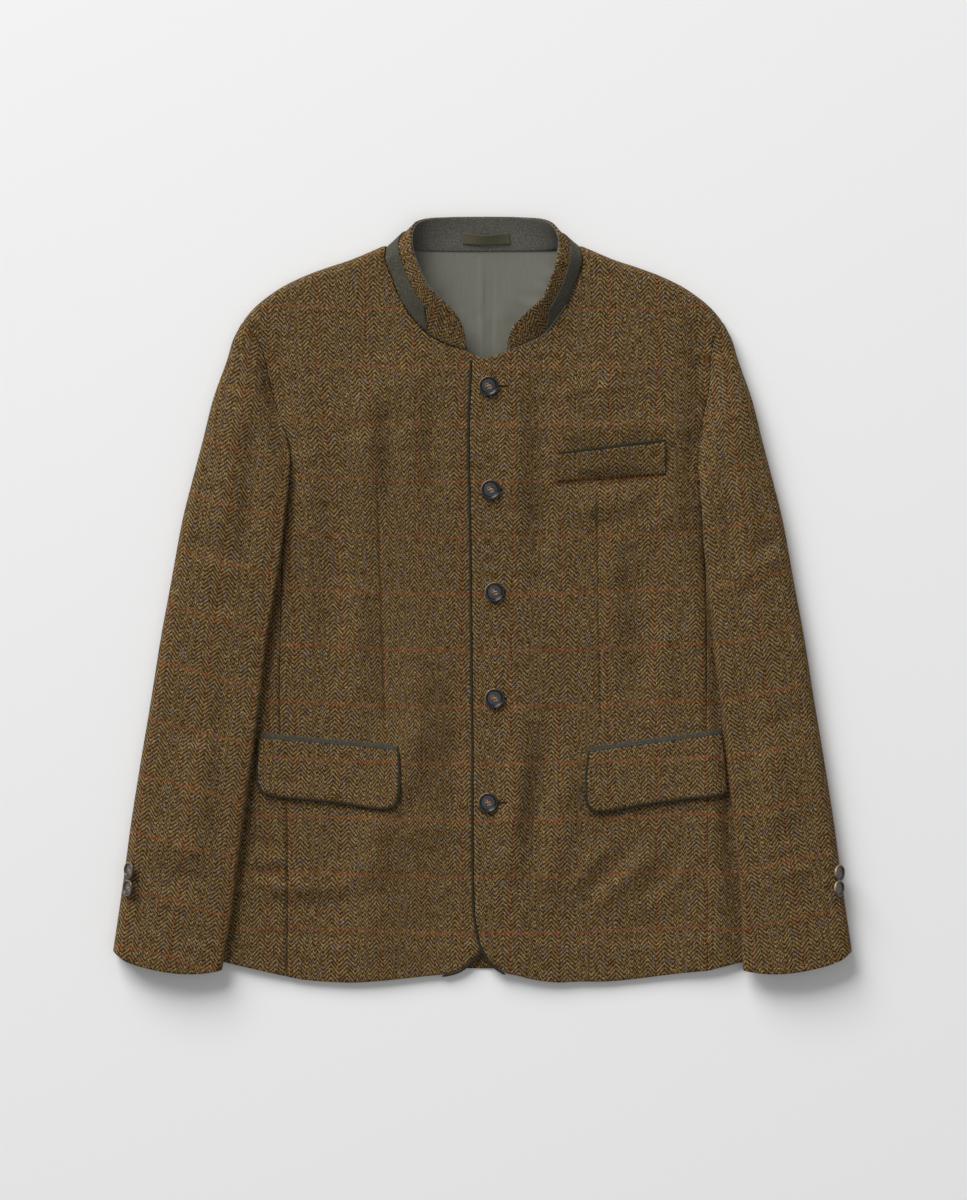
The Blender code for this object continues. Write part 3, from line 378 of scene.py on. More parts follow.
def patch(start: Line, end: Line, low: Line, high: Line) -> Callable[[Array, Array], Array]:
    """A four-sided piece in plan from its borders.

    Args:
        start, end: the borders at the first and last row.
        low, high: the borders at the first and last column.

    Returns:
        A function from shares of the rows and columns to a grid of places.
    """
    ends = np.array((0.0, 1.0))
    (a, b), (c, d) = start(ends)[:, :2], end(ends)[:, :2]

    def at(s: Array, t: Array) -> Array:
        """Places at shares of the rows and the columns."""
        s, t = np.asarray(s, float), np.asarray(t, float)
        across = (1 - t)[..., None] * low(s)[..., :2] + t[..., None] * high(s)[..., :2]
        along = (1 - s)[..., None] * start(t)[..., :2] + s[..., None] * end(t)[..., :2]
        s, t = s[..., None], t[..., None]
        return across + along - (1 - s) * ((1 - t) * a + t * b) - s * ((1 - t) * c + t * d)

    return at


def trace(line: Line, steps: int = 60) -> Array:
    """Points along a line, for measuring distances to it."""
    return line(np.linspace(0, 1, steps + 1))[:, :2]


def flipped(table: Table) -> tuple:
    """A table in the other order."""
    return tuple(reversed(table))


def outward(table: Table, side: Side) -> tuple:
    """A table written outwards from the centre line, in the garment's own x."""
    return tuple((side.value * row[0], *row[1:]) for row in table)


@dataclass(frozen=True)
class Nearest:
    """What is nearest to some places on a line: the distance, and the share of the line."""

    distance: Array
    share: Array


def nearest(line: Array, x: Array, y: Array) -> Nearest:
    """The nearest point of a polyline to each place in plan."""
    best = np.full(np.shape(x), np.inf)
    share = np.zeros_like(best)
    for k, (start, end) in enumerate(zip(line[:-1], line[1:])):
        step = end - start
        along = ((x - start[0]) * step[0] + (y - start[1]) * step[1]) / max(step @ step, 1e-9)
        along = np.clip(along, 0, 1)
        distance = np.hypot(x - start[0] - along * step[0], y - start[1] - along * step[1])
        closer = distance < best
        best = np.where(closer, distance, best)
        share = np.where(closer, (k + along) / (len(line) - 1), share)
    return Nearest(best, share)


def contains(outline: Array, x: Array, y: Array) -> Array:
    """Whether an outline in plan holds each place."""
    inside = np.zeros(np.shape(x), int)
    for (x0, y0), (x1, y1) in zip(outline[:-1], outline[1:]):
        if y0 != y1:
            inside += ((y0 > y) != (y1 > y)) & (x < x0 + (y - y0) * (x1 - x0) / (y1 - y0))
    return inside % 2 == 1


def creased(table: Table, x: Array, y: Array) -> Array:
    """Height that soft creases add at each place.

    Args:
        table: rows of start, middle and end in plan, half width and height.
        x, y: the places.

    Returns:
        The height, less than nothing in a trough.
    """
    height = np.zeros(np.shape(x))
    for row, (x0, y0, xm, ym, x1, y1, width, rise) in enumerate(table):
        reach = CREASE_REACH * width
        near = ((x > min(x0, xm, x1) - reach) & (x < max(x0, xm, x1) + reach)
                & (y > min(y0, ym, y1) - reach) & (y < max(y0, ym, y1) + reach))
        if not near.any():
            continue
        found = nearest(trace(curve(((x0, y0), (xm, ym), (x1, y1))), 14), x[near], y[near])
        ends = np.sin(math.pi * np.clip(found.share, CREASE_END, 1 - CREASE_END)) ** CREASE_FADE
        uneven = sum((size * np.sin(turns * found.share + start * row)
                      for size, turns, start in CREASE_WAVES), 1.0)
        height[near] += rise * ends * uneven * np.exp(-(found.distance / width) ** 2)
    return height


def rippled(x: Array, y: Array) -> Array:
    """The slow unevenness of cloth that lies loose: a divisor is a ripple's length over 2 pi, in
    millimetres."""
    broad, slanting, fine = RIPPLE_HEIGHTS
    return (broad * np.sin(x / 31 + 1.3 * np.sin(y / 67)) * np.sin(y / 53 + 0.7)
            + slanting * np.sin(x / 17 - y / 41 + 2.0) + fine * np.sin(x / 12.7 + y / 23.1))


def turned_up(distance: Array, edge: Array | float, step: float, dip: float) -> Array:
    """The soft step, 5 mm wide, where a hem's turn-up ends inside, and a shallow dip 2 mm beyond it."""
    return step * (1 - smooth((distance - edge) / 5)) - dip * np.exp(-((distance - edge - 2) / 3) ** 2)


# ---- the form that the cloth lies in
@dataclass(frozen=True)
class LaidForm:
    """Heights of the jacket as it lies: driving sizes in millimetres, and the surfaces they make.

    In its methods x and y are places in plan, and a height or a point is returned for each. A front is
    dressed where its creases, ripples and darts are added.
    """

    tweed: float = 2.4
    seam: float = 0.3
    hole_seam: float = 0.5
    stack: float = 0.8
    shoulder_roll: float = 9.0
    side_roll: float = 5.0
    sleeve_roll_out: float = 11.0
    sleeve_roll_in: float = 5.5
    sleeve_crown: float = 3.0
    support_ramp: float = 24.0
    support_margin: float = 4.0
    overlap_width: float = 30.0
    overlap_blend: float = 70.0
    armpit_level: float = 460.0
    edge_blend: float = 95.0
    hole_front_share: float = 0.7
    hem_margin: float = 5.0
    shoulder_fade: float = 30.0
    dart_end: float = 0.12
    dart_width: float = 1.6
    dart_hollow: float = 0.7
    dart_hollow_width: float = 8.0
    turn_up: float = 40.0
    turn_up_wave: float = 1.6
    turn_up_wave_length: float = 37.0
    turn_up_step: float = 0.55
    turn_up_dip: float = 0.35
    shoulder_lines: dict[Side, Array] = field(default_factory=dict)
    side_lines: dict[Side, Array] = field(default_factory=dict)
    hole_lines: dict[Side, Array] = field(default_factory=dict)
    body_plans: dict[Side, Array] = field(default_factory=dict)

    @classmethod
    def laid(cls) -> "LaidForm":
        """The form with its lines traced from the plan tables."""
        form = cls()
        for side in Side:
            low, fold = outward(ARMHOLE_LOW[side], side), outward(SIDE_FOLD[side], side)
            form.shoulder_lines[side] = trace(curve(outward(SHOULDER, side)))
            form.side_lines[side] = trace(curve(fold))
            form.hole_lines[side] = trace(chain((outward(ARMHOLE_FRONT[side], side), form.hole_front_share),
                                                (low, 1.0)))
            below = ((fold[-1][0], -form.hem_margin), (0, -form.hem_margin), (0, low[0][1]))
            form.body_plans[side] = np.vstack((trace(curve(low), 20), form.side_lines[side], below,
                                               [low[0][:2]]))
        return form

    def upper(self, x: Array, y: Array) -> Array:
        """Height of the body's single upper layer, without the shoulder's roll."""
        rows = np.array(BODY_HEIGHT)
        middle, border = np.interp(y, rows[:, 0], rows[:, 1]), np.interp(y, rows[:, 0], rows[:, 2])
        inside = np.zeros(np.shape(x))
        for side in Side:
            here = (x > 0) == (side is Side.LEFT)
            for lines, zone in ((self.side_lines, y < self.armpit_level),
                                (self.hole_lines, y >= self.armpit_level)):
                chosen = here & zone
                if chosen.any():
                    found = nearest(lines[side], x[chosen], y[chosen])
                    inside[chosen] = smooth(found.distance / self.edge_blend)
        return border + (middle - border) * inside

    def overlap_lift(self, x: Array) -> Array:
        """How far the upper front stands over the lower one beside the centre edge."""
        return (self.tweed + self.seam) * (1 - smooth((x - self.overlap_width) / self.overlap_blend))

    def front_unrolled(self, side: Side, x: Array, y: Array, dressed: bool = True) -> Array:
        """Heights of a front's outer face without the shoulder's roll."""
        top = self.upper(x, y) + (self.overlap_lift(x) if side is Side.LEFT else 0.0)
        if dressed:
            fade = smooth(nearest(self.shoulder_lines[side], x, y).distance / self.shoulder_fade)
            top = top + (creased(CREASES, x, y) + rippled(x, y) + self.darted(x, y)) * fade
        return top

    def front(self, side: Side, x: Array, y: Array, dressed: bool = True) -> Array:
        """Points of a front's outer face."""
        top = self.front_unrolled(side, x, y, dressed)
        distance = nearest(self.shoulder_lines[side], x, y).distance
        seam = self.shoulder_roll + self.seam / 2
        turn = np.arccos(np.clip(1 - distance / self.shoulder_roll, 0, 1))
        rolled = seam + (top - seam) * np.sin(turn)
        return np.stack((x, y, np.where(distance >= self.shoulder_roll, top, rolled)), axis=-1)

    def darted(self, x: Array, y: Array) -> Array:
        """Height added by the sharp dip along each dart and by the hem's turn-up."""
        dip = np.zeros(np.shape(x))
        for x0, y0, x1, y1, depth in DARTS:
            found = nearest(trace(curve(((x0, y0), ((x0 + x1) / 2, (y0 + y1) / 2), (x1, y1))), 8), x, y)
            ends = smooth(np.minimum(found.share, 1 - found.share) / self.dart_end)
            dip -= ends * (depth * np.exp(-(found.distance / self.dart_width) ** 2)
                           + self.dart_hollow * np.exp(-(found.distance / self.dart_hollow_width) ** 2))
        edge = self.turn_up + self.turn_up_wave * np.sin(x / self.turn_up_wave_length)
        return dip + turned_up(y, edge, self.turn_up_step, self.turn_up_dip)

    def back(self, x: Array, y: Array) -> Array:
        """Points of the back's outer face, which lies on the surface and rolls up at the shoulders."""
        distance = np.minimum(*(nearest(self.shoulder_lines[side], x, y).distance for side in Side))
        seam = self.shoulder_roll - self.seam / 2
        turn = np.arccos(np.clip(1 - distance / self.shoulder_roll, 0, 1))
        lifted = creased(BACK_LIFTS, x, y)
        rolled = seam * (1 - np.sin(turn))
        return np.stack((x, y, np.where(distance >= self.shoulder_roll, lifted, rolled)), axis=-1)

    def support(self, side: Side, x: Array, y: Array) -> Array:
        """Height of what a sleeve's underside rests on: the surface, then the body's side."""
        plan = self.body_plans[side]
        distance = nearest(plan, x, y).distance
        climb = np.where(contains(plan, x, y), 1.0,
                         1 - smooth((distance - self.support_margin) / self.support_ramp))
        return climb * (self.upper(x, y) + self.stack)


def quarter_turn(steps: int) -> Array:
    """How far from a fold's edge, in its radii, points lie that step evenly round a quarter turn."""
    return 1 - np.cos(np.linspace(0, math.pi / 2, steps + 1))


def shares(length: float, step: float, fine: Array = np.zeros(0)) -> Array:
    """Shares of a length, closer together beside its sewn ends.

    Args:
        length: the length in millimetres.
        step: the usual distance between rows in millimetres.
        fine: further shares, where something narrow is to show.

    Returns:
        The shares in order, from 0 to 1.
    """
    near = np.array(EDGE_ROWS) / length
    middle = np.linspace(near[-1], 1 - near[-1], int(length / step) + 1)
    return np.unique(np.concatenate((near[:-1], middle, 1 - near[:-1], fine)))


def even_grid(rows: int, columns: int) -> tuple[Array, Array]:
    """Grids of even shares down the rows and along the columns."""
    return tuple(np.meshgrid(np.linspace(0, 1, rows), np.linspace(0, 1, columns), indexing="ij"))


# ---- cloth
@dataclass
class Cloth:
    """One cut piece: a wall on a grid of points, with dipped seams, rounded edges and a grain.

    The grain is kept in metres in the mesh's own map, which the woven finishes read.
    """

    name: str
    outer: Array
    facing: Array
    wall: float
    grain: Array
    sewn: tuple[Border, ...] = ()
    free: tuple[Border, ...] = ()
    dip: float = 0.75
    dip_width: float = 1.5
    rounding: float = 1.2
    directed: bool = False

    def normals(self) -> Array:
        """Outward directions at the grid's points, as given where the piece is directed."""
        if self.directed:
            return unit(self.facing)
        across = unit(np.cross(np.gradient(self.outer, axis=0), np.gradient(self.outer, axis=1)))
        return across if (across * self.facing).sum() > 0 else -across

    def border_distance(self, border: Border) -> Array:
        """Distance over the cloth from a border to each point."""
        axis = 0 if border in (Border.FIRST_ROW, Border.LAST_ROW) else 1
        length = run_length(self.outer, axis)
        if border in (Border.FIRST_ROW, Border.FIRST_COLUMN):
            return length
        return np.take(length, [-1], axis=axis) - length

    def border_loop(self) -> Array:
        """Numbers of the grid's points once round its border."""
        rows, columns = self.outer.shape[:2]
        k = np.arange(rows * columns).reshape(rows, columns)
        return np.concatenate((k[0], k[1:, -1], k[-1, -2::-1], k[-2:0:-1, 0]))

    def built(self) -> bpy.types.Object:
        """The piece as a mesh object."""
        rows, columns = self.outer.shape[:2]
        normals = self.normals()
        dipped = sum((self.dip * np.exp(-(self.border_distance(border) / self.dip_width) ** 2)
                      for border in self.sewn), np.zeros((rows, columns)))
        outer = self.outer - normals * dipped[..., None]
        inner = self.outer - normals * self.wall
        loop = self.border_loop()
        i, j = np.divmod(loop, columns)
        push = np.zeros(len(loop))
        for border in self.free:
            push[self.border_distance(border)[i, j] == 0] = self.rounding
        inside = self.outer[np.clip(i, 1, rows - 2), np.clip(j, 1, columns - 2)]
        out = self.outer[i, j] - inside
        out -= normals[i, j] * (out * normals[i, j]).sum(axis=1, keepdims=True)
        rings = []
        for angle in np.radians((45, 90, 135)):
            level = (1 - math.cos(angle)) / 2
            rings.append(outer[i, j] * (1 - level) + inner[i, j] * level
                         + unit(out) * (push * math.sin(angle))[:, None])
        points = np.vstack((outer.reshape(-1, 3), inner.reshape(-1, 3), *rings))
        grain = np.vstack((self.grain.reshape(-1, 2),) * 2 + (self.grain[i, j],) * 3)
        return self.meshed(points, grain, loop)

    def meshed(self, points: Array, grain: Array, loop: Array) -> bpy.types.Object:
        """The mesh object of both faces and the rounded edge, whose three rings follow their points."""
        rows, columns = self.outer.shape[:2]
        size, count = rows * columns, len(loop)
        quads = grid_faces(rows, columns)
        centre = quads[len(quads) // 2]
        a, b, c = points[centre[0]], points[centre[1]], points[centre[3]]
        inwards = np.cross(b - a, c - a) @ self.normals().reshape(-1, 3)[centre[0]] < 0
        if inwards:
            quads = quads[:, ::-1]
        faces = [quads, quads[:, ::-1] + size]
        strips = [loop, *(2 * size + n * count + np.arange(count) for n in range(3)), loop + size]
        for one, two in zip(strips, strips[1:]):
            strip = np.stack((one, np.roll(one, -1), np.roll(two, -1), two), axis=-1)
            faces.append(strip if inwards else strip[:, ::-1])
        return mesh_object(self.name, points, faces, grain)


def grid_faces(rows: int, columns: int) -> Array:
    """The four-cornered faces between a grid's points, by the points' numbers."""
    k = np.arange(rows * columns).reshape(rows, columns)
    return np.stack((k[:-1, :-1], k[:-1, 1:], k[1:, 1:], k[1:, :-1]), axis=-1).reshape(-1, 4)


def mesh_object(name: str, points: Array, faces: Sequence[Array],
                grain: Array | None = None) -> bpy.types.Object:
    """A smooth mesh object.

    Args:
        name: the object's name.
        points: x, y and z in millimetres, in the plan tables' frame, in rows or on a grid.
        faces: tables of point numbers, a face to a row, each table with as many corners throughout.
        grain: for woven cloth, each point's place on the flat cloth in millimetres.

    Returns:
        The object, linked to the scene.
    """
    mesh = bpy.data.meshes.new(name)
    placed = (points.reshape(-1, 3) - (0.0, MID_LENGTH, 0.0)) * MM
    corners = np.concatenate([table.ravel() for table in faces])
    counts = np.concatenate([np.full(len(table), table.shape[1]) for table in faces])
    mesh.vertices.add(len(placed))
    mesh.vertices.foreach_set("co", placed.astype(np.float32).ravel())
    mesh.loops.add(len(corners))
    mesh.loops.foreach_set("vertex_index", corners.astype(np.int32))
    mesh.polygons.add(len(counts))
    mesh.polygons.foreach_set("loop_start", (np.cumsum(counts) - counts).astype(np.int32))
    mesh.update(calc_edges=True)
    mesh.validate()
    if grain is not None:
        layer = mesh.uv_layers.new(name="grain")
        vertices = np.zeros(len(mesh.loops), np.int32)
        mesh.loops.foreach_get("vertex_index", vertices)
        layer.data.foreach_set("uv", (grain.reshape(-1, 2)[vertices] * MM).astype(np.float32).ravel())
    mesh.shade_smooth()
    made = bpy.data.objects.new(name, mesh)
    bpy.context.scene.collection.objects.link(made)
    return made


def grained(points: Array, warp: float = 0.0, weft: float = 0.0) -> Array:
    """Places on the flat cloth: plan places turned and skewed, with the length that folds take up.

    Args:
        points: the grid of a piece's outer face.
        warp: how far the cloth's warp leans from the garment's length, in radians.
        weft: how far its weft leans from the garment's width.

    Returns:
        The grid of places in millimetres.
    """
    x, y = points[..., 0], points[..., 1]
    grain = np.stack((x * math.cos(warp) + y * math.sin(warp),
                      y * math.cos(weft) - x * math.sin(weft)), axis=-1)
    for axis in (0, 1):
        step = np.diff(points, axis=axis)
        extra = np.linalg.norm(step, axis=-1) - np.linalg.norm(step[..., :2], axis=-1)
        gained = np.cumsum(np.insert(extra, 0, 0.0, axis=axis), axis=axis)
        middle = points.shape[axis] // 2
        gained -= np.take(gained, [middle], axis=axis)
        ahead = np.diff(np.take(grain, [middle - 1, middle], axis=axis).mean(axis=1 - axis), axis=0)
        grain += gained[..., None] * unit(ahead.reshape(2))
    return grain


def settled(made: bpy.types.Object, finish: "Finish", node: str) -> None:
    """Dresses a piece and tells the frame what it is.

    Args:
        made: the piece.
        finish: its finish.
        node: the node that it stands for.
    """
    made.data.materials.append(finish.material())
    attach(made, "root")
    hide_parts(node)
    log.info("%s: %d faces", made.name, len(made.data.polygons))


# ---- body
@dataclass(frozen=True)
class FrontChecks:
    """How far a front's checks are drawn aside: the right one's towards its side by its dart, and
    both down in the middle by the cloth's weight."""

    lean_at: tuple[float, ...] = (60, 130, 270, 340, 415, 490, 560, 632)
    lean: tuple[float, ...] = (22, 22, 26, 24, 20, 14, 6, 0)
    shift: float = -1.0
    start: float = -15.0
    reach: float = 120.0
    sag: float = 5.0
    half_width: float = 185.0

    def drawn(self, side: Side, places: Array) -> Array:
        """What is added to the flat cloth's places at places in plan, in millimetres."""
        x, y = places[..., 0], places[..., 1]
        aside = np.zeros_like(x)
        if side is Side.RIGHT:
            lean = np.interp(y, self.lean_at, self.lean)
            aside = self.shift - lean * smooth((self.start - x) / self.reach)
        return np.stack((aside, self.sag - self.sag * (x / self.half_width) ** 2), axis=-1)


@dataclass
class BodyPanels:
    """Back, fronts and side panels of the body, in tweed."""

    form: LaidForm
    tweed: "Finish"
    step: float = 3.0
    back_step: float = 4.0
    length: float = 650.0
    panel_length: float = 470.0
    front_width: float = 230.0
    back_width: float = 450.0
    seam_share: float = 0.66
    hole_share: float = 0.70
    centre_share: float = 0.78
    neck_share: float = 0.36
    roll_share: float = 0.053
    roll_rows: int = 12
    corner_rows: int = 9
    fold_columns: int = 10
    flat_columns: int = 14
    dart_reach: float = 9.0
    dart_columns: int = 29
    dart_share: dict[Side, float] = field(default_factory=lambda: {Side.LEFT: 0.453, Side.RIGHT: 0.437})
    sewn: tuple[Border, ...] = (Border.FIRST_COLUMN, Border.LAST_COLUMN, Border.LAST_ROW)
    hem: tuple[Border, ...] = (Border.FIRST_ROW,)

    def rows(self) -> Array:
        """Shares of a body piece's length at its rows, from hem to shoulder."""
        low = np.linspace(0, self.seam_share, int(self.seam_share * self.length / self.step))
        corner = np.linspace(self.seam_share, self.hole_share, self.corner_rows)[1:]
        top = 1 - (1 - self.hole_share) * self.roll_share
        high = np.linspace(self.hole_share, top, int((1 - self.hole_share) * self.length / self.step))[1:]
        roll = 1 - (1 - self.hole_share) * (self.roll_share * quarter_turn(self.roll_rows))[::-1]
        return np.concatenate((low, corner, high, roll[1:]))

    def front_edges(self, side: Side) -> tuple[Line, Line, Line, Line]:
        """The hem, the shoulder, the outer edge and the centre edge of a front."""
        outer = chain((flipped(outward(SIDE_SEAM[side], side)), self.seam_share),
                      (outward((SIDE_SEAM[side][0], ARMHOLE_LOW[side][0]), side), self.hole_share),
                      (flipped(outward(ARMHOLE_FRONT[side], side)), 1.0))
        shoulder = outward(SHOULDER, side)
        centre = chain((CENTRE_EDGE[side], self.centre_share),
                       (NECKLINE[side][:-1] + (shoulder[-1],), 1.0))
        return curve(FRONT_HEM[side]), curve(shoulder), outer, centre

    def front(self, side: Side) -> None:
        """One front from its side seam and armhole to its centre edge and neckline."""
        dart = np.linspace(-self.dart_reach, self.dart_reach, self.dart_columns) / self.front_width
        columns = shares(self.front_width, self.step, self.dart_share[side] + dart)
        s, t = np.meshgrid(self.rows(), columns, indexing="ij")
        places = patch(*self.front_edges(side))(s, t)
        outer = self.form.front(side, places[..., 0], places[..., 1])
        cloth = Cloth(f"{side.word}_front_tweed", outer, np.array((0, 0.2, 1.0)), self.form.tweed,
                      grained(outer) + FrontChecks().drawn(side, outer), sewn=self.sewn, free=self.hem)
        settled(cloth.built(), self.tweed, f"front_{side.word}")

    def back_edges(self) -> tuple[Line, Line, Line, Line]:
        """The hem, the shoulders with the neck, the right edge and the left edge of the back."""
        borders = [chain((flipped(outward(UNDER_SEAM[side], side)), self.hole_share),
                         (outward(ARMHOLE_BACK[side], side), 1.0)) for side in (Side.RIGHT, Side.LEFT)]
        top = chain((outward(SHOULDER, Side.RIGHT), self.neck_share), (BACK_NECK, 1 - self.neck_share),
                    (flipped(outward(SHOULDER, Side.LEFT)), 1.0))
        return curve(BACK_HEM), top, borders[0], borders[1]

    def back(self) -> None:
        """The whole back, face down."""
        s, t = np.meshgrid(self.rows(), shares(self.back_width, self.back_step), indexing="ij")
        places = patch(*self.back_edges())(s, t)
        outer = self.form.back(places[..., 0], places[..., 1])
        cloth = Cloth("back_tweed", outer, np.array((0, 0.2, -1.0)), self.form.tweed, grained(outer),
                      sewn=self.sewn, free=self.hem)
        settled(cloth.built(), self.tweed, "back")

    def side_panel(self, side: Side) -> None:
        """A side panel: from the front's seam round the side fold to the back's seam underneath."""
        form, sign = self.form, side.value
        seams = [beside(curve(flipped(outward(table[side], side))), sign * form.seam)
                 for table in (SIDE_SEAM, UNDER_SEAM)]
        s = np.linspace(0, 1, int(self.panel_length / self.step))
        edge = curve(flipped(outward(SIDE_FOLD[side], side)))(s)[:, None, :]
        halves, facings = [], []
        for face, seam in zip((1, -1), seams):
            reach = seam(s)[:, None, :] - edge
            width = np.linalg.norm(reach, axis=-1)
            rolled = form.side_roll * quarter_turn(self.fold_columns)[None, :] / width
            rest = np.linspace(0, 1, self.flat_columns)[None, 1:]
            flat = rolled[:, -1:] + (1 - rolled[:, -1:]) * rest
            share = np.concatenate((rolled, flat), axis=1)
            x, y = np.moveaxis(edge + reach * share[..., None], -1, 0)
            turn = np.arccos(1 - np.minimum(share * width / form.side_roll, 1.0))
            dressed = rippled(x, y) + creased(CREASES, x, y)
            # the upper layer can't sink lower than the layer that it lies on
            top = (np.maximum(form.upper(x, y) + dressed, 2 * form.tweed + form.stack) if face > 0
                   else creased(BACK_LIFTS, x, y))
            z = form.side_roll + (top - form.side_roll) * np.sin(turn)
            points = np.stack((x, y, z), axis=-1)
            away = -unit(reach) * np.cos(turn)[..., None]
            facing = np.concatenate((away, (face * np.sin(turn))[..., None]), axis=-1)
            halves.append(points[:, ::-1] if face > 0 else points[:, 1:])
            facings.append(facing[:, ::-1] if face > 0 else facing[:, 1:])
        outer, facing = np.concatenate(halves, axis=1), np.concatenate(facings, axis=1)
        grain = np.stack((outer[:, :1, 0] + sign * run_length(outer, 1), outer[..., 1]), axis=-1)
        cloth = Cloth(f"{side.word}_side_tweed", outer, facing, form.tweed, grain, sewn=self.sewn,
                      free=self.hem, directed=True)
        settled(cloth.built(), self.tweed, f"side_{side.word}")

    def build(self) -> None:
        """Makes the five panels."""
        self.back()
        for side in Side:
            self.front(side)
            self.side_panel(side)


# ---- sleeves
@dataclass
class Sleeves:
    """Two-piece sleeves, each an upper and an under piece joined at the outer and inner fold."""

    form: LaidForm
    tweed: "Finish"
    rolls: int = 10
    between: int = 34
    length: float = 640.0
    first_rows: tuple[float, ...] = (0.0, 0.0012, 0.003, 0.006, 0.009, 0.012)
    further_rows: int = 208
    hole_blend: float = 0.085
    hole_roll: float = 0.053
    under_blend: float = 0.045
    under_shares: Pair = (0.5, 0.62)
    roll_blend: float = 0.15
    looseness: float = 1.5
    turn_up: float = 36.0
    turn_up_step: float = 0.5
    turn_up_dip: float = 0.3
    puff_start: float = 0.6
    lean: float = math.radians(7.5)
    slope: dict[Side, float] = field(default_factory=lambda: {Side.RIGHT: 0.27, Side.LEFT: 0.215})

    def stations(self) -> Array:
        """Shares of a sleeve's length at its rows, armhole to cuff."""
        return np.concatenate((self.first_rows[:-1], np.linspace(self.first_rows[-1], 1, self.further_rows)))

    def columns(self, upper: bool, s: Array, width: Array, roll_out: Array) -> Array:
        """Shares of each row's width at its columns, which crowd round both folds.

        Args:
            upper: whether the piece is the upper one.
            s: the rows' shares of the sleeve's length.
            width: the rows' widths in millimetres.
            roll_out: the rows' radii at the outer fold.

        Returns:
            A grid of shares, outer fold to inner fold.
        """
        bend = quarter_turn(self.rolls)
        out = roll_out[:, None] * bend / width[:, None]
        inner = 1 - (self.form.sleeve_roll_in * bend / width[:, None])[:, ::-1]
        share = np.linspace(0, 1, self.between + 2)[1:-1]
        middle = out[:, -1:] + (inner[:, :1] - out[:, -1:]) * share
        formed = np.concatenate((out, middle, inner), axis=1)
        start = self.hole_roll * bend * (1.0 if upper else 0.5)
        rest = start[-1] + (1 - start[-1]) * np.linspace(0, 1, formed.shape[1] - len(start) + 1)[1:]
        at_hole = np.concatenate((start, rest))
        return at_hole + (formed - at_hole) * smooth(s / self.hole_blend)[:, None]

    def plan(self, side: Side, upper: bool) -> Callable[[Array, Array], Array]:
        """A sleeve piece in plan, from its armhole edge to its cuff."""
        sign = side.value
        if upper:
            hole = beside(curve(outward(ARMHOLE_FRONT[side], side)), -sign * self.form.hole_seam)
        else:
            back_end, corner_end = self.under_shares
            low = chain((flipped(outward(ARMHOLE_BACK[side], side)), back_end),
                        (outward((ARMHOLE_BACK[side][0], SIDE_FOLD[side][0]), side), corner_end),
                        (flipped(outward(ARMHOLE_LOW[side], side)), 1.0))
            hole = beside(low, -sign * self.form.seam)
        folds = [started(curve(outward(table, side)), hole(np.array(end)))
                 for table, end in ((SLEEVE_OUTER, 0.0), (SLEEVE_INNER[side], 1.0))]
        return patch(hole, curve(outward(CUFF_EDGE, side)), *folds)

    def piece(self, side: Side, upper: bool) -> None:
        """The upper or the under piece of one sleeve."""
        form, plan, s = self.form, self.plan(side, upper), self.stations()
        outer_end, inner_end = plan(s, np.zeros_like(s)), plan(s, np.ones_like(s))
        width = np.linalg.norm(inner_end - outer_end, axis=-1)
        roll_out = form.shoulder_roll + ((form.sleeve_roll_out - form.shoulder_roll)
                                         * smooth(s / self.roll_blend))
        middle_in = form.support(side, inner_end[:, 0], inner_end[:, 1]) + form.sleeve_roll_in
        t = self.columns(upper, s, width, roll_out)
        s, width, roll_out, middle_in = (np.broadcast_to(v[:, None], t.shape)
                                         for v in (s, width, roll_out, middle_in))
        x, y = np.moveaxis(plan(s, t), -1, 0)
        out_turn = np.arccos(1 - np.minimum(t * width / roll_out, 1.0))
        in_turn = np.arccos(1 - np.minimum((1 - t) * width / form.sleeve_roll_in, 1.0))
        turn = np.minimum(out_turn, in_turn)
        fold = np.where(out_turn < math.pi / 2, roll_out, middle_in)
        if upper:
            crest = 2 * roll_out * (1 - t) + (middle_in + form.sleeve_roll_in) * t
            crest += form.sleeve_crown * np.sin(math.pi * t)
            crest += creased(SLEEVE_CREASES, x, y) + self.looseness * rippled(x, y)
            crest += turned_up((1 - s) * self.length, self.turn_up, self.turn_up_step, self.turn_up_dip)
            z = fold + form.seam / 2 + (crest - (fold + form.seam / 2)) * np.sin(turn)
            # beside the armhole it is as high as the front is there, and rolls to its own outer fold
            top, low = form.front_unrolled(side, x, y), roll_out + form.seam / 2
            body = low + (top - low) * np.sin(out_turn)
            puff = 2 * (form.tweed + form.stack) * smooth((t - self.puff_start) / (1 - self.puff_start))
            z = z + (body + puff - z) * (1 - smooth(s / self.hole_blend))
        else:
            rest = form.support(side, x, y)
            formed = np.where(out_turn < in_turn, 1.0, smooth((s - self.first_rows[-1]) / self.under_blend))
            z = rest + (fold - form.seam / 2 - rest) * (1 - np.sin(turn)) * formed
        outer = np.stack((x, y, z), axis=-1)
        word = "upper" if upper else "under"
        cloth = Cloth(f"{side.word}_{word}_sleeve_tweed", outer, np.array((0, 0, 1.0 if upper else -1.0)),
                      form.tweed, grained(outer, self.lean * side.value, self.slope[side] * side.value),
                      sewn=(Border.FIRST_ROW, Border.FIRST_COLUMN, Border.LAST_COLUMN),
                      free=(Border.LAST_ROW,))
        node = f"sleeve_{side.word}_{'top' if upper else 'under'}"
        settled(cloth.built(), self.tweed, node)

    def build(self) -> None:
        """Makes both sleeves."""
        for side in Side:
            self.piece(side, upper=False)
            self.piece(side, upper=True)


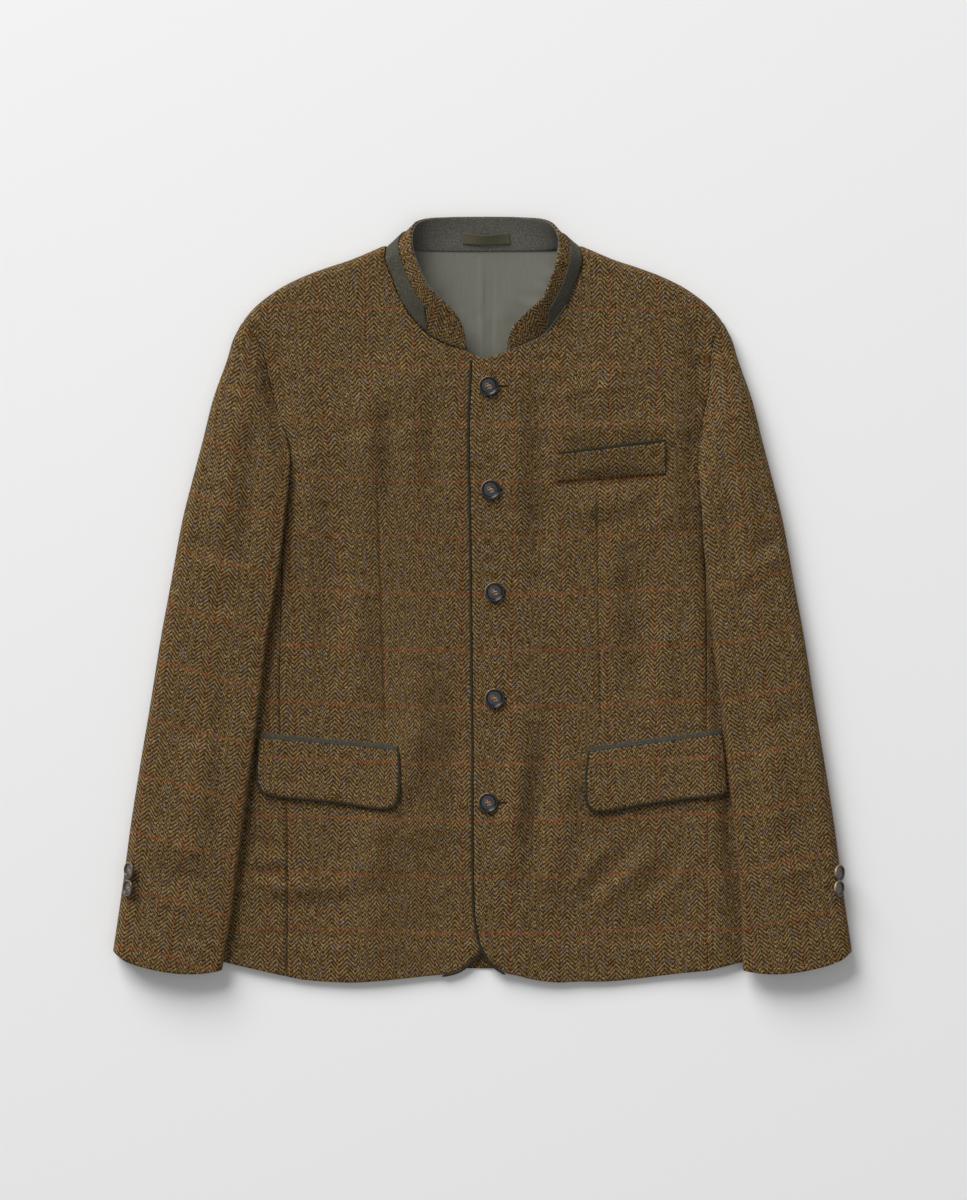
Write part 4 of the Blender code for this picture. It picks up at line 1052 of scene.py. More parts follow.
# ---- collar, lining and loop
@dataclass
class StandCollar:
    """The stand collar: tweed outside, felt inside, a felt band round its foot and a hanger loop."""

    form: LaidForm
    tweed: "Finish"
    felt: "Finish"
    pale_felt: "Finish"
    tape: "Finish"
    wall: float = 1.8
    gap: float = 0.8
    felt_wall: float = 1.2
    felt_share: float = 0.55
    columns: int = 300
    rows: int = 18
    band_rows: int = 14
    bulge: float = 0.7
    bulge_wave: float = 0.35
    bulge_turns: Pair = (41.0, 3.0)
    tangent_reach: float = 0.004
    loop_span: Pair = (0.4585, 0.5615)
    loop_rise: Pair = (0.20, 0.53)
    loop_size: Pair = (48.0, 11.0)
    loop_bow: float = 2.6
    loop_sag: float = 0.05
    loop_wall: float = 0.8
    loop_rounding: float = 0.3
    facing_end: float = 0.012
    facing_foot: float = 0.02
    facing_drop: float = 0.05
    facing_drop_half: float = 0.22
    facing_drop_blend: float = 0.06
    facing_top: float = 1.015
    band_foot: float = 0.06
    band_end: float = 0.092
    band_slant: float = 0.034
    grain_start: float = -18.0

    def run(self) -> Line:
        """The collar's foot and top as one line of six columns. It stands inside the fronts'
        necklines and beyond the back's."""
        rows = []
        along = np.gradient(np.array([row[:2] for row in COLLAR], float), axis=0)
        for k, (seam_x, seam_y, top_x, top_y, top_z, seam_z) in enumerate(COLLAR):
            away = np.array((0.0, 1.0))
            if k in NECK_POINTS:
                away = np.array((-math.copysign(1.0, seam_x), 1.0))
            elif seam_z == 0:
                side = Side.LEFT if seam_x > 0 else Side.RIGHT
                here = np.array((float(seam_x),)), np.array((float(seam_y),))
                top_z += self.form.overlap_lift(here[0])[0] if side is Side.LEFT else 0.0
                seam_z = self.form.front(side, *here, dressed=False)[0, 2] + self.form.seam
                away = unit(np.array((along[k][1], -along[k][0])))
            foot = np.array((seam_x, seam_y)) + self.gap * away
            rows.append((*foot, seam_z, top_x, top_y, top_z))
        return curve(rows)

    def layer(self, u: Array, v: Array, depth: float | Array) -> tuple[Array, Array]:
        """Points of the collar moved away from the neck by a depth.

        Args:
            u, v: grids of shares of the collar's length and height.
            depth: how far out the layer's outer face lies, less than nothing inside.

        Returns:
            A grid of points and a grid of directions away from the neck.
        """
        run = self.run()

        def at(share: Array) -> Array:
            """The collar's middle face at shares of its length."""
            row = run(np.clip(share, 0, 1))
            return row[..., :3] + (row[..., 3:] - row[..., :3]) * v[..., None]

        rise = run(u)[..., 3:] - run(u)[..., :3]
        out = unit(np.cross(rise, at(u + self.tangent_reach) - at(u - self.tangent_reach)))
        if out[len(out) // 2, :, 1].sum() < 0:
            out = -out
        wave = np.sin(self.bulge_turns[0] * u + self.bulge_turns[1] * v)
        bulge = (self.bulge + self.bulge_wave * wave) * np.sin(math.pi * np.clip(v, 0, 1))
        return at(u) + (bulge + depth)[..., None] * out, out

    def cloth(self, name: str, u: Array, v: Array, depth: float, wall: float, finish: "Finish",
              node: str, free: tuple[Border, ...] = tuple(Border)) -> None:
        """One layer of the collar, with rounded edges.

        Args:
            name: the piece's name.
            u, v: grids of shares of the collar's length and height.
            depth: how far out its outer face lies.
            wall: its thickness.
            finish: its finish.
            node: the node that it stands for.
            free: its rounded borders.
        """
        outer, out = self.layer(u, v, depth)
        across, along = run_length(outer, 1), run_length(outer, 0)
        start = np.broadcast_to(along[:, :1] + self.grain_start, across.shape)
        grain = np.stack((start, across), axis=-1)
        cloth = Cloth(name, outer, out, wall, grain, free=free, rounding=wall / 3)
        settled(cloth.built(), finish, node)

    def build(self) -> None:
        """Makes the collar's layers and the loop."""
        ends = np.linspace(0, 1, self.columns)
        u, v = np.meshgrid(ends, np.linspace(0, 1, self.rows), indexing="ij")
        self.cloth("collar_tweed", u, v, 0.0, self.wall, self.tweed, "collar",
                   (Border.FIRST_ROW, Border.LAST_ROW, Border.LAST_COLUMN))
        # the facing is turned a little over the top edge, and hides the seam at the collar's foot
        within = self.facing_end + (1 - 2 * self.facing_end) * ends
        u, v = np.meshgrid(within, np.linspace(0, 1, self.rows), indexing="ij")
        drop = smooth((self.facing_drop_half - np.abs(u - 0.5)) / self.facing_drop_blend)
        low = self.facing_foot - self.facing_drop * drop
        v = low + (self.facing_top - low) * v
        self.cloth("collar_facing_felt", u, v, -(self.wall + self.form.seam), self.felt_wall, self.pale_felt,
                   "collar_facing")
        # the band's ends slant, so its foot reaches further forward than its top
        t, v = np.meshgrid(ends, np.linspace(self.band_foot, self.felt_share, self.band_rows), indexing="ij")
        slant = self.band_slant * (v - self.band_foot) / (self.felt_share - self.band_foot)
        u = self.band_end + slant + (1 - 2 * (self.band_end + slant)) * t
        self.cloth("collar_band_felt", u, v, self.form.seam + self.felt_wall, self.felt_wall, self.felt,
                   "collar_felt")
        self.loop()

    def loop(self) -> None:
        """The hanger loop, sewn flat on the collar's inner side at its ends, sagging in its middle."""
        share, height = even_grid(60, 10)
        u = self.loop_span[0] + (self.loop_span[1] - self.loop_span[0]) * share
        sag = self.loop_sag * np.sin(math.pi * share) ** 2
        v = self.loop_rise[0] + (self.loop_rise[1] - self.loop_rise[0]) * height - sag * (0.4 + 0.6 * height)
        base = self.wall + 2 * self.form.seam + self.felt_wall
        bow = self.loop_bow * np.sin(math.pi * share) ** 1.5 * (0.6 + 0.8 * height)
        outer, out = self.layer(u, v, -(base + bow + self.loop_wall))
        grain = np.stack((share * self.loop_size[0], height * self.loop_size[1]), axis=-1)
        tape = Cloth("hanger_tape", outer, -out, self.loop_wall, grain, free=tuple(Border),
                     rounding=self.loop_rounding)
        settled(tape.built(), self.tape, "hanger_loop")


@dataclass
class Lining:
    """The satin back lining that shows in the neck, with a pleat down its middle."""

    form: LaidForm
    satin: "Finish"
    wall: float = 1.0
    gap: float = 0.35
    looseness: float = 0.3
    edge_share: float = 0.06
    rows: int = 110
    columns: int = 130

    def build(self) -> None:
        """Makes the lining."""
        corners = np.array(LINING_PLAN, float)
        s, t = even_grid(self.rows, self.columns)
        low = corners[0] + (corners[1] - corners[0]) * t[..., None]
        high = corners[2] + (corners[3] - corners[2]) * t[..., None]
        x, y = np.moveaxis(low + (high - low) * s[..., None], -1, 0)
        lift = creased(LINING_FOLDS, x, y) + self.looseness * rippled(x, y)
        inside = smooth(np.minimum.reduce((s, 1 - s, t, 1 - t)) / self.edge_share)
        z = self.form.tweed + self.form.seam + self.wall + self.gap + lift * inside
        outer = np.stack((x, y, z), axis=-1)
        cloth = Cloth("lining_satin", outer, np.array((0, 0, 1.0)), self.wall, grained(outer),
                      free=tuple(Border))
        settled(cloth.built(), self.satin, "back_lining")


# ---- pockets and edgings
@dataclass
class Trims:
    """Flaps with felt pipings and jettings, the chest welt, and the felt edging of the fronts."""

    form: LaidForm
    tweed: "Finish"
    felt: "Finish"
    shade_painted_felt: "Finish"
    flap_wall: float = 2.2
    flap_lift: float = 0.5
    flap_bulge: float = 0.35
    flap_bulge_wave: float = 0.4
    flap_bulge_turns: float = 7.0
    edge_curl: float = 1.8
    edge_curl_reach: float = 14.0
    corner_curl: dict[Side, float] = field(default_factory=lambda: {Side.RIGHT: 0.8, Side.LEFT: 2.8})
    corner_curl_reach: float = 20.0
    piping_width: float = 2.6
    piping_spans: tuple[Pair, ...] = ((0.02, 1.0), (0.035, 1.0), (0.5, 0.98))
    jetting_width: float = 5.6
    jetting_wall: float = 1.6
    jetting_lift: float = 0.5
    welt_wall: float = 1.8
    welt_lean: float = 1.6
    welt_span: Pair = (0.01, 0.99)
    welt_piping: Pair = (-0.2, -3.6)
    rounding: float = 0.8

    def on_front(self, side: Side, places: Array, lift: float | Array) -> Array:
        """Points over a front's dressed face."""
        points = self.form.front(side, places[..., 0], places[..., 1])
        points[..., 2] += lift
        return points

    def curl(self, side: Side, places: Array) -> Array:
        """How far a flap stands off at its lower edge, most at its inner corner."""
        x, y = places[..., 0], places[..., 1]
        first, bottom, _ = FLAP[side]
        corner = np.hypot(x - first[-1][0], y - first[-1][1])
        foot = np.abs(trace(curve(bottom)))
        foot = foot[np.argsort(foot[:, 0])]
        low = y - np.interp(np.abs(x), foot[:, 0], foot[:, 1])
        return (self.edge_curl * np.exp(-(low / self.edge_curl_reach) ** 2)
                + self.corner_curl[side] * np.exp(-(corner / self.corner_curl_reach) ** 2))

    def strip(self, side: Side, path: Line, along: Array, near: float, far: float, lift: float) -> Array:
        """A strip of points beside a path, between two distances to the right of it.

        Args:
            side: the front that it lies on.
            path: the line in plan.
            along: shares of the line at the strip's rows.
            near, far: the strip's edges, less the rounding that its cloth adds.
            lift: its height over the front.

        Returns:
            A grid of points.
        """
        inset = math.copysign(self.rounding, far - near)
        across = np.linspace(near + inset, far - inset, 7)
        places = np.stack([beside(path, gap)(along)[..., :2] for gap in across], axis=1)
        return self.on_front(side, places, lift)

    def trim(self, name: str, outer: Array, wall: float, finish: "Finish", node: str,
             side: Side) -> None:
        """One trim with rounded edges, lying on its front."""
        cloth = Cloth(name, outer, np.array((0, 0, 1.0)), wall,
                      grained(outer) + FrontChecks().drawn(side, outer), free=tuple(Border),
                      rounding=self.rounding)
        settled(cloth.built(), finish, node)

    def pocket(self, side: Side) -> None:
        """A flap with its piping, under its jetting."""
        first, bottom, last = FLAP[side]
        top = curve((first[0], last[-1]))
        s, t = even_grid(26, 60)
        places = patch(curve(bottom), top, curve(flipped(first)), curve(last))(s, t)
        lift = self.flap_lift + self.flap_wall
        outer = self.on_front(side, places, lift + self.curl(side, places))
        wave = 1 + self.flap_bulge_wave * np.sin(self.flap_bulge_turns * t)
        outer[..., 2] += self.flap_bulge * np.sin(math.pi * s) * wave
        self.trim(f"{side.word}_flap_tweed", outer, self.flap_wall, self.tweed,
                  f"flap_{side.word}", side)
        runs = [first, bottom] + ([last] if side is Side.RIGHT else [])
        path = np.vstack([curve(run)(np.linspace(*span, 50))[:, :2]
                          for run, span in zip(runs, self.piping_spans)])
        # a point that two runs share is kept once
        line = curve(path[np.insert(np.linalg.norm(np.diff(path, axis=0), axis=1) > 1e-3, 0, True)])
        outer = self.strip(side, line, np.linspace(0, 1, 150), self.form.seam,
                           self.form.seam + self.piping_width, lift)
        outer[..., 2] += self.curl(side, outer)
        self.trim(f"{side.word}_flap_piping_felt", outer, self.flap_wall, self.shade_painted_felt,
                  f"flap_piping_{side.word}", side)
        outer = self.strip(side, top, np.linspace(0, 1, 60), -self.form.seam,
                           -self.form.seam - self.jetting_width,
                           self.flap_lift + self.jetting_wall + self.jetting_lift)
        self.trim(f"{side.word}_jetting_felt", outer, self.jetting_wall, self.felt,
                  f"jetting_{side.word}", side)

    def welt(self) -> None:
        """The slanting welt of the chest pocket."""
        low, high = (curve(edge) for edge in WELT)
        s, t = even_grid(12, 50)
        places = low(t) + (high(t) - low(t)) * s[..., None]
        outer = self.on_front(Side.LEFT, places, self.flap_lift + self.welt_wall + self.welt_lean * s)
        self.trim("chest_welt_tweed", outer, self.welt_wall, self.tweed, "chest_welt", Side.LEFT)
        outer = self.strip(Side.LEFT, high, np.linspace(*self.welt_span, 60), *self.welt_piping,
                           self.flap_lift + self.welt_wall + self.welt_lean)
        self.trim("chest_welt_piping_felt", outer, self.welt_wall, self.shade_painted_felt, "chest_welt",
                  Side.LEFT)

    def edging(self, side: Side) -> None:
        """The felt edging of a front, from its hem to its neck."""
        near = -self.form.seam if side is Side.LEFT else self.form.seam
        far = near + math.copysign(self.piping_width, near)
        outer = self.strip(side, curve(CENTRE_EDGE[side]), np.linspace(0, 1, 260), near, far, 0.0)
        self.trim(f"{side.word}_edging_felt", outer, self.form.tweed, self.shade_painted_felt,
                  f"front_piping_{side.word}", side)

    def build(self) -> None:
        """Makes the trims of both sides."""
        for side in Side:
            self.pocket(side)
            self.edging(side)
        self.welt()


# ---- finishes
def linear(colour: str) -> tuple[float, float, float, float]:
    """The linear RGBA of an sRGB hex colour."""
    parts = (int(colour[k:k + 2], 16) / 255 for k in (1, 3, 5))
    return (*((c / 12.92 if c <= 0.04045 else ((c + 0.055) / 1.055) ** 2.4) for c in parts), 1.0)


# settings that nodes have here unless others are given
USUAL = {"Mix": {"data_type": "RGBA"}, "TexNoise": {"noise_dimensions": "2D"},
         "VectorMath": {"operation": "MULTIPLY"}, "VectorRotate": {"rotation_type": "Z_AXIS"}}


@dataclass
class Graph:
    """The nodes of one material."""

    tree: bpy.types.NodeTree

    @classmethod
    def started(cls, name: str, **sockets: object) -> "Graph":
        """A new material's graph, with constants set on its shader's sockets.

        Args:
            name: the material's name.
            sockets: the shader's inputs by name, with _ for a space.

        Returns:
            The graph.
        """
        made = bpy.data.materials.new(name)
        made.use_nodes = True
        shader = made.node_tree.nodes["Principled BSDF"]
        for key, value in sockets.items():
            shader.inputs[key.replace("_", " ")].default_value = value
        return cls(made.node_tree)

    def add(self, kind: str, *values: object, **settings: object) -> Socket:
        """Adds one node with its settings and links.

        Args:
            kind: the node's type without its prefix, or a sum's name in capitals.
            values: what goes into its inputs in order: sockets, numbers or colours.
            settings: the node's own settings, or inputs by name where it has such inputs.

        Returns:
            Its first output.
        """
        node = self.tree.nodes.new("ShaderNodeMath" if kind.isupper() else f"ShaderNode{kind}")
        if kind.isupper():
            node.operation = kind
        for key, value in {**USUAL.get(kind, {}), **settings}.items():
            if hasattr(node, key):
                setattr(node, key, value)
            else:
                self.feed(node.inputs[key.replace("_", " ")], value)
        for socket, value in zip([i for i in node.inputs if i.enabled], values):
            self.feed(socket, value)
        return [o for o in node.outputs if o.enabled][0]

    def feed(self, socket: Socket, value: object) -> None:
        """Links a socket to another, or sets its value."""
        if isinstance(value, Socket):
            self.tree.links.new(value, socket)
        elif isinstance(value, str):
            socket.default_value = linear(value)
        else:
            socket.default_value = value

    def shade(self, **sockets: Socket) -> None:
        """Links the shader's inputs, by name with _ for a space."""
        shader = self.tree.nodes["Principled BSDF"]
        for key, value in sockets.items():
            self.feed(shader.inputs[key.replace("_", " ")], value)

    def grain(self) -> Socket:
        """The place on the flat cloth, in millimetres."""
        return self.add("VectorMath", self.add("UVMap", uv_map="grain"), (1 / MM,) * 3)


class Finish:
    """A finish that makes its material once."""

    def material(self) -> bpy.types.Material:
        """The finish's material, made on first use."""
        name = type(self).__name__
        if name not in bpy.data.materials:
            self.paint(name)
        return bpy.data.materials[name]

    def paint(self, name: str) -> None:
        """Builds the material's nodes."""
        raise NotImplementedError


@dataclass(frozen=True)
class WoolTweedHerringbone(Finish):
    """Woollen herringbone tweed, woven in carded heather yarns with a rust windowpane, dry finished.

    Ribs of ochre warp over dark brown weft run up and down in chevrons, four picks of 1.09 mm to a
    rib. Between two rust lines lie two broad chevrons, with stripes of eight ends, and a band of
    narrow ones of two. The carded wool scatters light, so it is rough with a faint sheen, and its
    flecks break the ribs. Sizes are in millimetres, or in ends of warp or picks of weft by name.
    """

    pick: float = 1.0875
    end: float = 1.0104
    picks_in_rib: float = 4.0
    broad_ends: float = 8.0
    narrow_ends: float = 2.0
    pane_ends: float = 48.0
    pane_height: float = 56.5
    pane_start: Pair = (28.0, 52.9)
    rust_half_picks: float = 1.3
    wander: float = 100 / 3
    wander_reach: float = 3.0
    fleck: float = 2.0
    fleck_reach: float = 3.2
    speck: float = 4 / 3
    thread: float = 5 / 3
    blotch: float = 25 / 3
    fibre: float = 0.4
    warp: tuple[str, str, str] = ("#825f35", "#897345", "#6c6255")
    cream: str = "#b0986c"
    weft: tuple[str, str] = ("#281806", "#432e14")
    rust: tuple[str, str] = ("#94502b", "#8c431e")

    def paint(self, name: str) -> None:
        """Builds the chevrons, the heather, the windowpane and the wool's nap."""
        g = Graph.started(name, Roughness=0.92, Sheen_Weight=0.08, Sheen_Roughness=0.45,
                          Sheen_Tint=linear("#c9b98f"), Specular_IOR_Level=0.2)
        place = g.grain()
        x = g.add("SeparateXYZ", place)
        # yarns wander a little, so chevrons are never ruled
        wander = g.add("TexNoise", Vector=place, Scale=1 / self.wander, Detail=2.0)
        waver = g.add("MULTIPLY", g.add("SUBTRACT", wander, 0.5), self.wander_reach)
        u = g.add("DIVIDE", g.add("ADD", g.add("SUBTRACT", x, self.pane_start[0]),
                                  g.add("MULTIPLY", waver, 0.4)), self.end)
        v = g.add("DIVIDE", g.add("ADD", x.node.outputs["Y"], waver), self.pick)
        column, row = g.add("FLOOR", u), g.add("FLOOR", v)
        across = g.add("PINGPONG", g.add("ADD", column, 0.5), self.pane_ends / 2)
        narrow = g.add("GREATER_THAN", across, 2 * self.broad_ends)
        stripe = g.add("MODULO", g.add("FLOOR", g.add("DIVIDE", across, self.narrow_ends)), 2.0)
        broken = g.add("ADD", g.add("PINGPONG", across, self.narrow_ends),
                       g.add("MULTIPLY", stripe, self.picks_in_rib / 2))
        climb = g.add("Mix", narrow, g.add("PINGPONG", across, self.broad_ends), broken, data_type="FLOAT")
        # flecks push the ribs aside and specks thin them; noise lies mostly between 0.3 and 0.7
        fleck = g.add("TexNoise", Vector=place, Scale=1 / self.fleck, Detail=3.0, Roughness=0.65)
        speck = g.add("TexNoise", Vector=g.add("VectorMath", place, (71.0, 13.0, 0.0), operation="ADD"),
                      Scale=1 / self.speck, Detail=2.0)
        pushed = g.add("MULTIPLY", g.add("SUBTRACT", fleck, 0.5), self.fleck_reach)
        phase = g.add("FRACT", g.add("DIVIDE", g.add("ADD", pushed, g.add("SUBTRACT", row, climb)),
                                     self.picks_in_rib))
        over = g.add("LESS_THAN", phase, g.add("MapRange", speck, 0.3, 0.7, 0.32, 0.68))
        # each yarn is round: a warp end where it lies over, a weft pick where it shows
        round_end = g.add("SINE", g.add("MULTIPLY", g.add("FRACT", u), math.pi))
        round_pick = g.add("SINE", g.add("MULTIPLY", g.add("FRACT", v), math.pi))
        swell = g.add("Mix", over, round_pick, round_end, data_type="FLOAT")
        # carded wool: ochre and olive along each end, grey in patches, and cream flecks
        streaks = g.add("VectorMath", place, (0.7, 0.2, 1.0))
        thread = g.add("TexNoise", Vector=streaks, Scale=1 / self.thread, Detail=3.0, Roughness=0.6)
        blotch = g.add("TexNoise", Vector=place, Scale=1 / self.blotch, Detail=4.0, Roughness=0.6)
        warp, weft = self.warp[0], self.weft[0]
        for share, colour in ((g.add("MapRange", thread, 0.4, 0.6), self.warp[1]),
                              (g.add("MapRange", blotch, 0.5, 0.64, 0.0, 0.85), self.warp[2]),
                              (g.add("MapRange", speck, 0.58, 0.74, 0.0, 0.75), self.cream)):
            warp = g.add("Mix", share, warp, colour)
        weft = g.add("Mix", g.add("MapRange", fleck, 0.42, 0.66), weft, self.weft[1])
        # two warp ends and about three picks of rust in each pane, worn away where specks are pale
        in_warp = g.add("LESS_THAN", across, 1.0)
        up = g.add("PINGPONG", g.add("SUBTRACT", row, round(self.pane_start[1] / self.pick)),
                   self.pane_height / self.pick / 2)
        in_weft = g.add("LESS_THAN", up, self.rust_half_picks)
        worn = g.add("MapRange", speck, 0.35, 0.58, 1.0, 0.2)
        dyed = g.add("MULTIPLY", in_warp, g.add("MapRange", worn, 0.0, 1.0, 0.2, 0.85))
        warp = g.add("Mix", dyed, warp, self.rust[0])
        crossed = g.add("MULTIPLY", in_weft, g.add("MULTIPLY", worn, 0.4))
        warp = g.add("Mix", crossed, warp, self.rust[1])
        crossed = g.add("MULTIPLY", in_weft, g.add("MULTIPLY", worn, 0.65))
        weft = g.add("Mix", crossed, weft, self.rust[1])
        woven = g.add("Mix", over, weft, warp)
        # painted shade darkens the hollows between the yarns, and yarns differ a little in depth of colour
        shade_and_depth = g.add("MULTIPLY", g.add("MapRange", swell, 0.0, 1.0, 0.7, 1.08),
                       g.add("MapRange", thread, 0.33, 0.67, 0.66, 1.28))
        shade_and_tone = g.add("MULTIPLY", shade_and_depth, g.add("MapRange", blotch, 0.3, 0.7, 0.84, 1.1))
        # the woven colour is scaled by painted shade between the yarns and by the cloth's random tone
        woven = g.add("VectorMath", woven, Scale=shade_and_tone, operation="SCALE")
        height = g.add("ADD", g.add("MULTIPLY", swell, g.add("ADD", over, 0.35)),
                       g.add("MULTIPLY", fleck, 0.8))
        bump = g.add("Bump", Strength=0.5, Distance=self.fibre * MM, Height=height)
        g.shade(Base_Color=woven, Normal=bump)


@dataclass(frozen=True)
class WoolFeltMilled(Finish):
    """Milled wool felt, grey-green, its fibres matted and brushed.

    There is no weave: fibres 0.02 mm thick mat into a mottle that is drawn 1.3 mm wide so that it
    shows, under a soft nap that lightens edges.
    """

    colours: tuple[str, str, str] = ("#4c4a3f", "#37352c", "#6c6a5e")
    nap: float = 0.2
    fibre: float = 4 / 3
    mat: float = 6.25
    depth: float = 0.3

    def paint(self, name: str) -> None:
        """Builds the mottle and the nap."""
        g = Graph.started(name, Roughness=0.95, Sheen_Weight=self.nap, Sheen_Roughness=0.5,
                          Sheen_Tint=linear("#9fa197"), Specular_IOR_Level=0.2)
        place = g.grain()
        fibre = g.add("TexNoise", Vector=place, Scale=1 / self.fibre, Detail=4.0, Roughness=0.75)
        mat = g.add("TexNoise", Vector=place, Scale=1 / self.mat, Detail=3.0)
        base = g.add("Mix", g.add("MapRange", fibre, 0.4, 0.6), self.colours[1], self.colours[0])
        pale = g.add("MULTIPLY", g.add("MapRange", fibre, 0.52, 0.68), g.add("MapRange", mat, 0.3, 0.6))
        colour = g.add("Mix", pale, base, self.colours[2])
        bump = g.add("Bump", Strength=0.5, Distance=self.depth * MM, Height=fibre)
        g.shade(Base_Color=colour, Normal=bump)


@dataclass(frozen=True)
class WoolFeltPale(WoolFeltMilled):
    """The same felt brushed paler, which faces the collar's inside."""

    colours: tuple[str, str, str] = ("#67645d", "#4d4b45", "#86837c")


@dataclass(frozen=True)
class WoolFeltShadePainted(WoolFeltMilled):
    """The same felt folded narrow at the edges, with less nap, and darkened by painted shade that stands for
    the shadow along those narrow edges.
    """

    # darker colours: painted shade along the narrow pipings and edgings
    colours: tuple[str, str, str] = ("#322f23", "#252218", "#464234")
    nap: float = 0.08


@dataclass(frozen=True)
class ViscoseSatinLining(Finish):
    """Viscose satin, woven with long floats and calendered, in warm grey.

    Floats along the warp give a soft sheen in one direction. Threads 0.1 mm apart are drawn about
    1 mm apart, and slubs show as faint lines down the cloth.
    """

    colours: tuple[str, str] = ("#6d6d62", "#67675d")
    slub: float = 1.25
    pick: float = 5 / 7
    depth: float = 0.2

    def paint(self, name: str) -> None:
        """Builds the floats, the slubs and the sheen."""
        g = Graph.started(name, Roughness=0.5, Sheen_Weight=0.15, Anisotropic=0.35,
                          Specular_IOR_Level=0.35)
        place = g.grain()
        stretched = g.add("VectorMath", place, (1.0, 0.035, 1.0))
        slub = g.add("TexNoise", Vector=stretched, Scale=1 / self.slub, Detail=4.0)
        crossed = g.add("VectorMath", place, (0.05, 1.0, 1.0))
        pick = g.add("TexNoise", Vector=crossed, Scale=1 / self.pick, Detail=2.0)
        woven = g.add("ADD", g.add("MULTIPLY", slub, 0.65), g.add("MULTIPLY", pick, 0.35))
        colour = g.add("Mix", g.add("MapRange", woven, 0.36, 0.64), self.colours[1], self.colours[0])
        bump = g.add("Bump", Strength=0.3, Distance=self.depth * MM, Height=woven)
        g.shade(Base_Color=colour, Normal=bump, Roughness=g.add("MapRange", woven, 0.3, 0.7, 0.44, 0.6))


@dataclass(frozen=True)
class CottonTapeTwill(Finish):
    """Cotton twill tape in olive, whose fine ribs, 1 mm apart, lean across it under a faint fuzz."""

    colours: tuple[str, str] = ("#69644d", "#4c4936")
    rib: float = 1.0
    fibre: float = 10 / 13
    depth: float = 0.2

    def paint(self, name: str) -> None:
        """Builds the ribs."""
        g = Graph.started(name, Roughness=0.8, Sheen_Weight=0.1, Specular_IOR_Level=0.3)
        place = g.grain()
        x = g.add("SeparateXYZ", place)
        leaning = g.add("ADD", x, x.node.outputs["Y"])
        rib = g.add("SINE", g.add("MULTIPLY", leaning, 2 * math.pi / self.rib))
        share = g.add("MapRange", rib, -1.0, 1.0)
        fibre = g.add("TexNoise", Vector=place, Scale=1 / self.fibre, Detail=3.0)
        colour = g.add("Mix", g.add("MULTIPLY", share, fibre), self.colours[1], self.colours[0])
        bump = g.add("Bump", Strength=0.4, Distance=self.depth * MM, Height=share)
        g.shade(Base_Color=colour, Normal=bump)


@dataclass(frozen=True)
class BuffaloHornPolished(Finish):
    """Buffalo horn, turned and polished: charcoal with streaks and tan in the dish, with the horn's tan
    painted as a highlight at the rim on the side that faces the light.

    Horn is keratin with an IOR of about 1.55. Polishing makes its highlights small and sharp. Sizes
    are in millimetres on the front button, and the pattern is drawn smaller on a smaller one.
    """

    dark: tuple[str, str] = ("#121317", "#2b2c33")
    tan: tuple[str, str] = ("#a9835a", "#46301e")
    lit_side: Pair = (-0.64, 0.77)
    radius: float = FRONT_BUTTON_RADIUS
    streak: float = 2.0
    streak_turn: float = math.radians(38)
    rim: Pair = (8.9, 9.5)
    ring: float = 7.1
    dish: Pair = (3.0, 1.7)
    hole: Pair = (0.55, 0.9)

    def paint(self, name: str) -> None:
        """Builds the streaks, the tan rim side as a painted highlight, the mottled dish, and painted shade in
        the turned ring and the holes.
        """
        g = Graph.started(name, Roughness=0.26, IOR=1.55, Coat_Weight=0.1, Coat_Roughness=0.12)
        place = g.add("VectorMath", g.grain(), (FRONT_BUTTON_RADIUS / self.radius,) * 3)
        x = g.add("SeparateXYZ", place)
        # streaks and the pale patch run along the horn, from the upper left to the lower right
        turned = g.add("VectorRotate", place, Angle=self.streak_turn)
        drawn = g.add("VectorMath", turned, (0.22, 0.9, 1.0))
        streak = g.add("TexNoise", Vector=drawn, Scale=1 / self.streak, Detail=5.0, Distortion=0.8)
        horn = g.add("Mix", g.add("MapRange", streak, 0.38, 0.66), *self.dark)
        tan = g.add("Mix", g.add("MapRange", streak, 0.35, 0.62), self.tan[1], self.tan[0])
        radius = g.add("VectorMath", place, operation="LENGTH")
        # painted highlight: the horn's tan shows at the rim only on the side that faces the light
        aside = g.add("ADD", g.add("MULTIPLY", x, self.lit_side[0]),
                      g.add("MULTIPLY", x.node.outputs["Y"], self.lit_side[1]))
        pale = g.add("MULTIPLY", g.add("MapRange", radius, *self.rim), g.add("MapRange", aside, 2.5, 7.0))
        colour = g.add("Mix", g.add("MULTIPLY", pale, 0.9), horn, tan)
        oval = g.add("VectorMath", turned, (0.62, 1.0, 1.0))
        worn = g.add("ADD", g.add("VectorMath", oval, operation="LENGTH"),
                     g.add("MULTIPLY", g.add("SUBTRACT", streak, 0.5), 5.0))
        colour = g.add("Mix", g.add("MapRange", worn, *self.dish), colour, tan)
        beside_ring = g.add("ABSOLUTE", g.add("SUBTRACT", radius, self.ring))
        # four holes, painted dark with shade
        drilled = g.add("SeparateXYZ", g.add("VectorRotate", place, Angle=-HOLE_TURN))
        away = [g.add("SUBTRACT", g.add("ABSOLUTE", side), HOLE_OFFSET)
                for side in drilled.node.outputs[:2]]
        reach = g.add("VectorMath", g.add("CombineXYZ", *away), operation="LENGTH")
        # painted shade in the turned ring's groove and in the four holes
        shade = g.add("MULTIPLY", g.add("MapRange", beside_ring, 0.15, 0.6, 0.35, 1.0),
                      g.add("MapRange", reach, *self.hole, 0.08, 1.0))
        colour = g.add("VectorMath", colour, Scale=shade, operation="SCALE")
        g.shade(Base_Color=colour, Roughness=g.add("MapRange", streak, 0.3, 0.7, 0.2, 0.36))


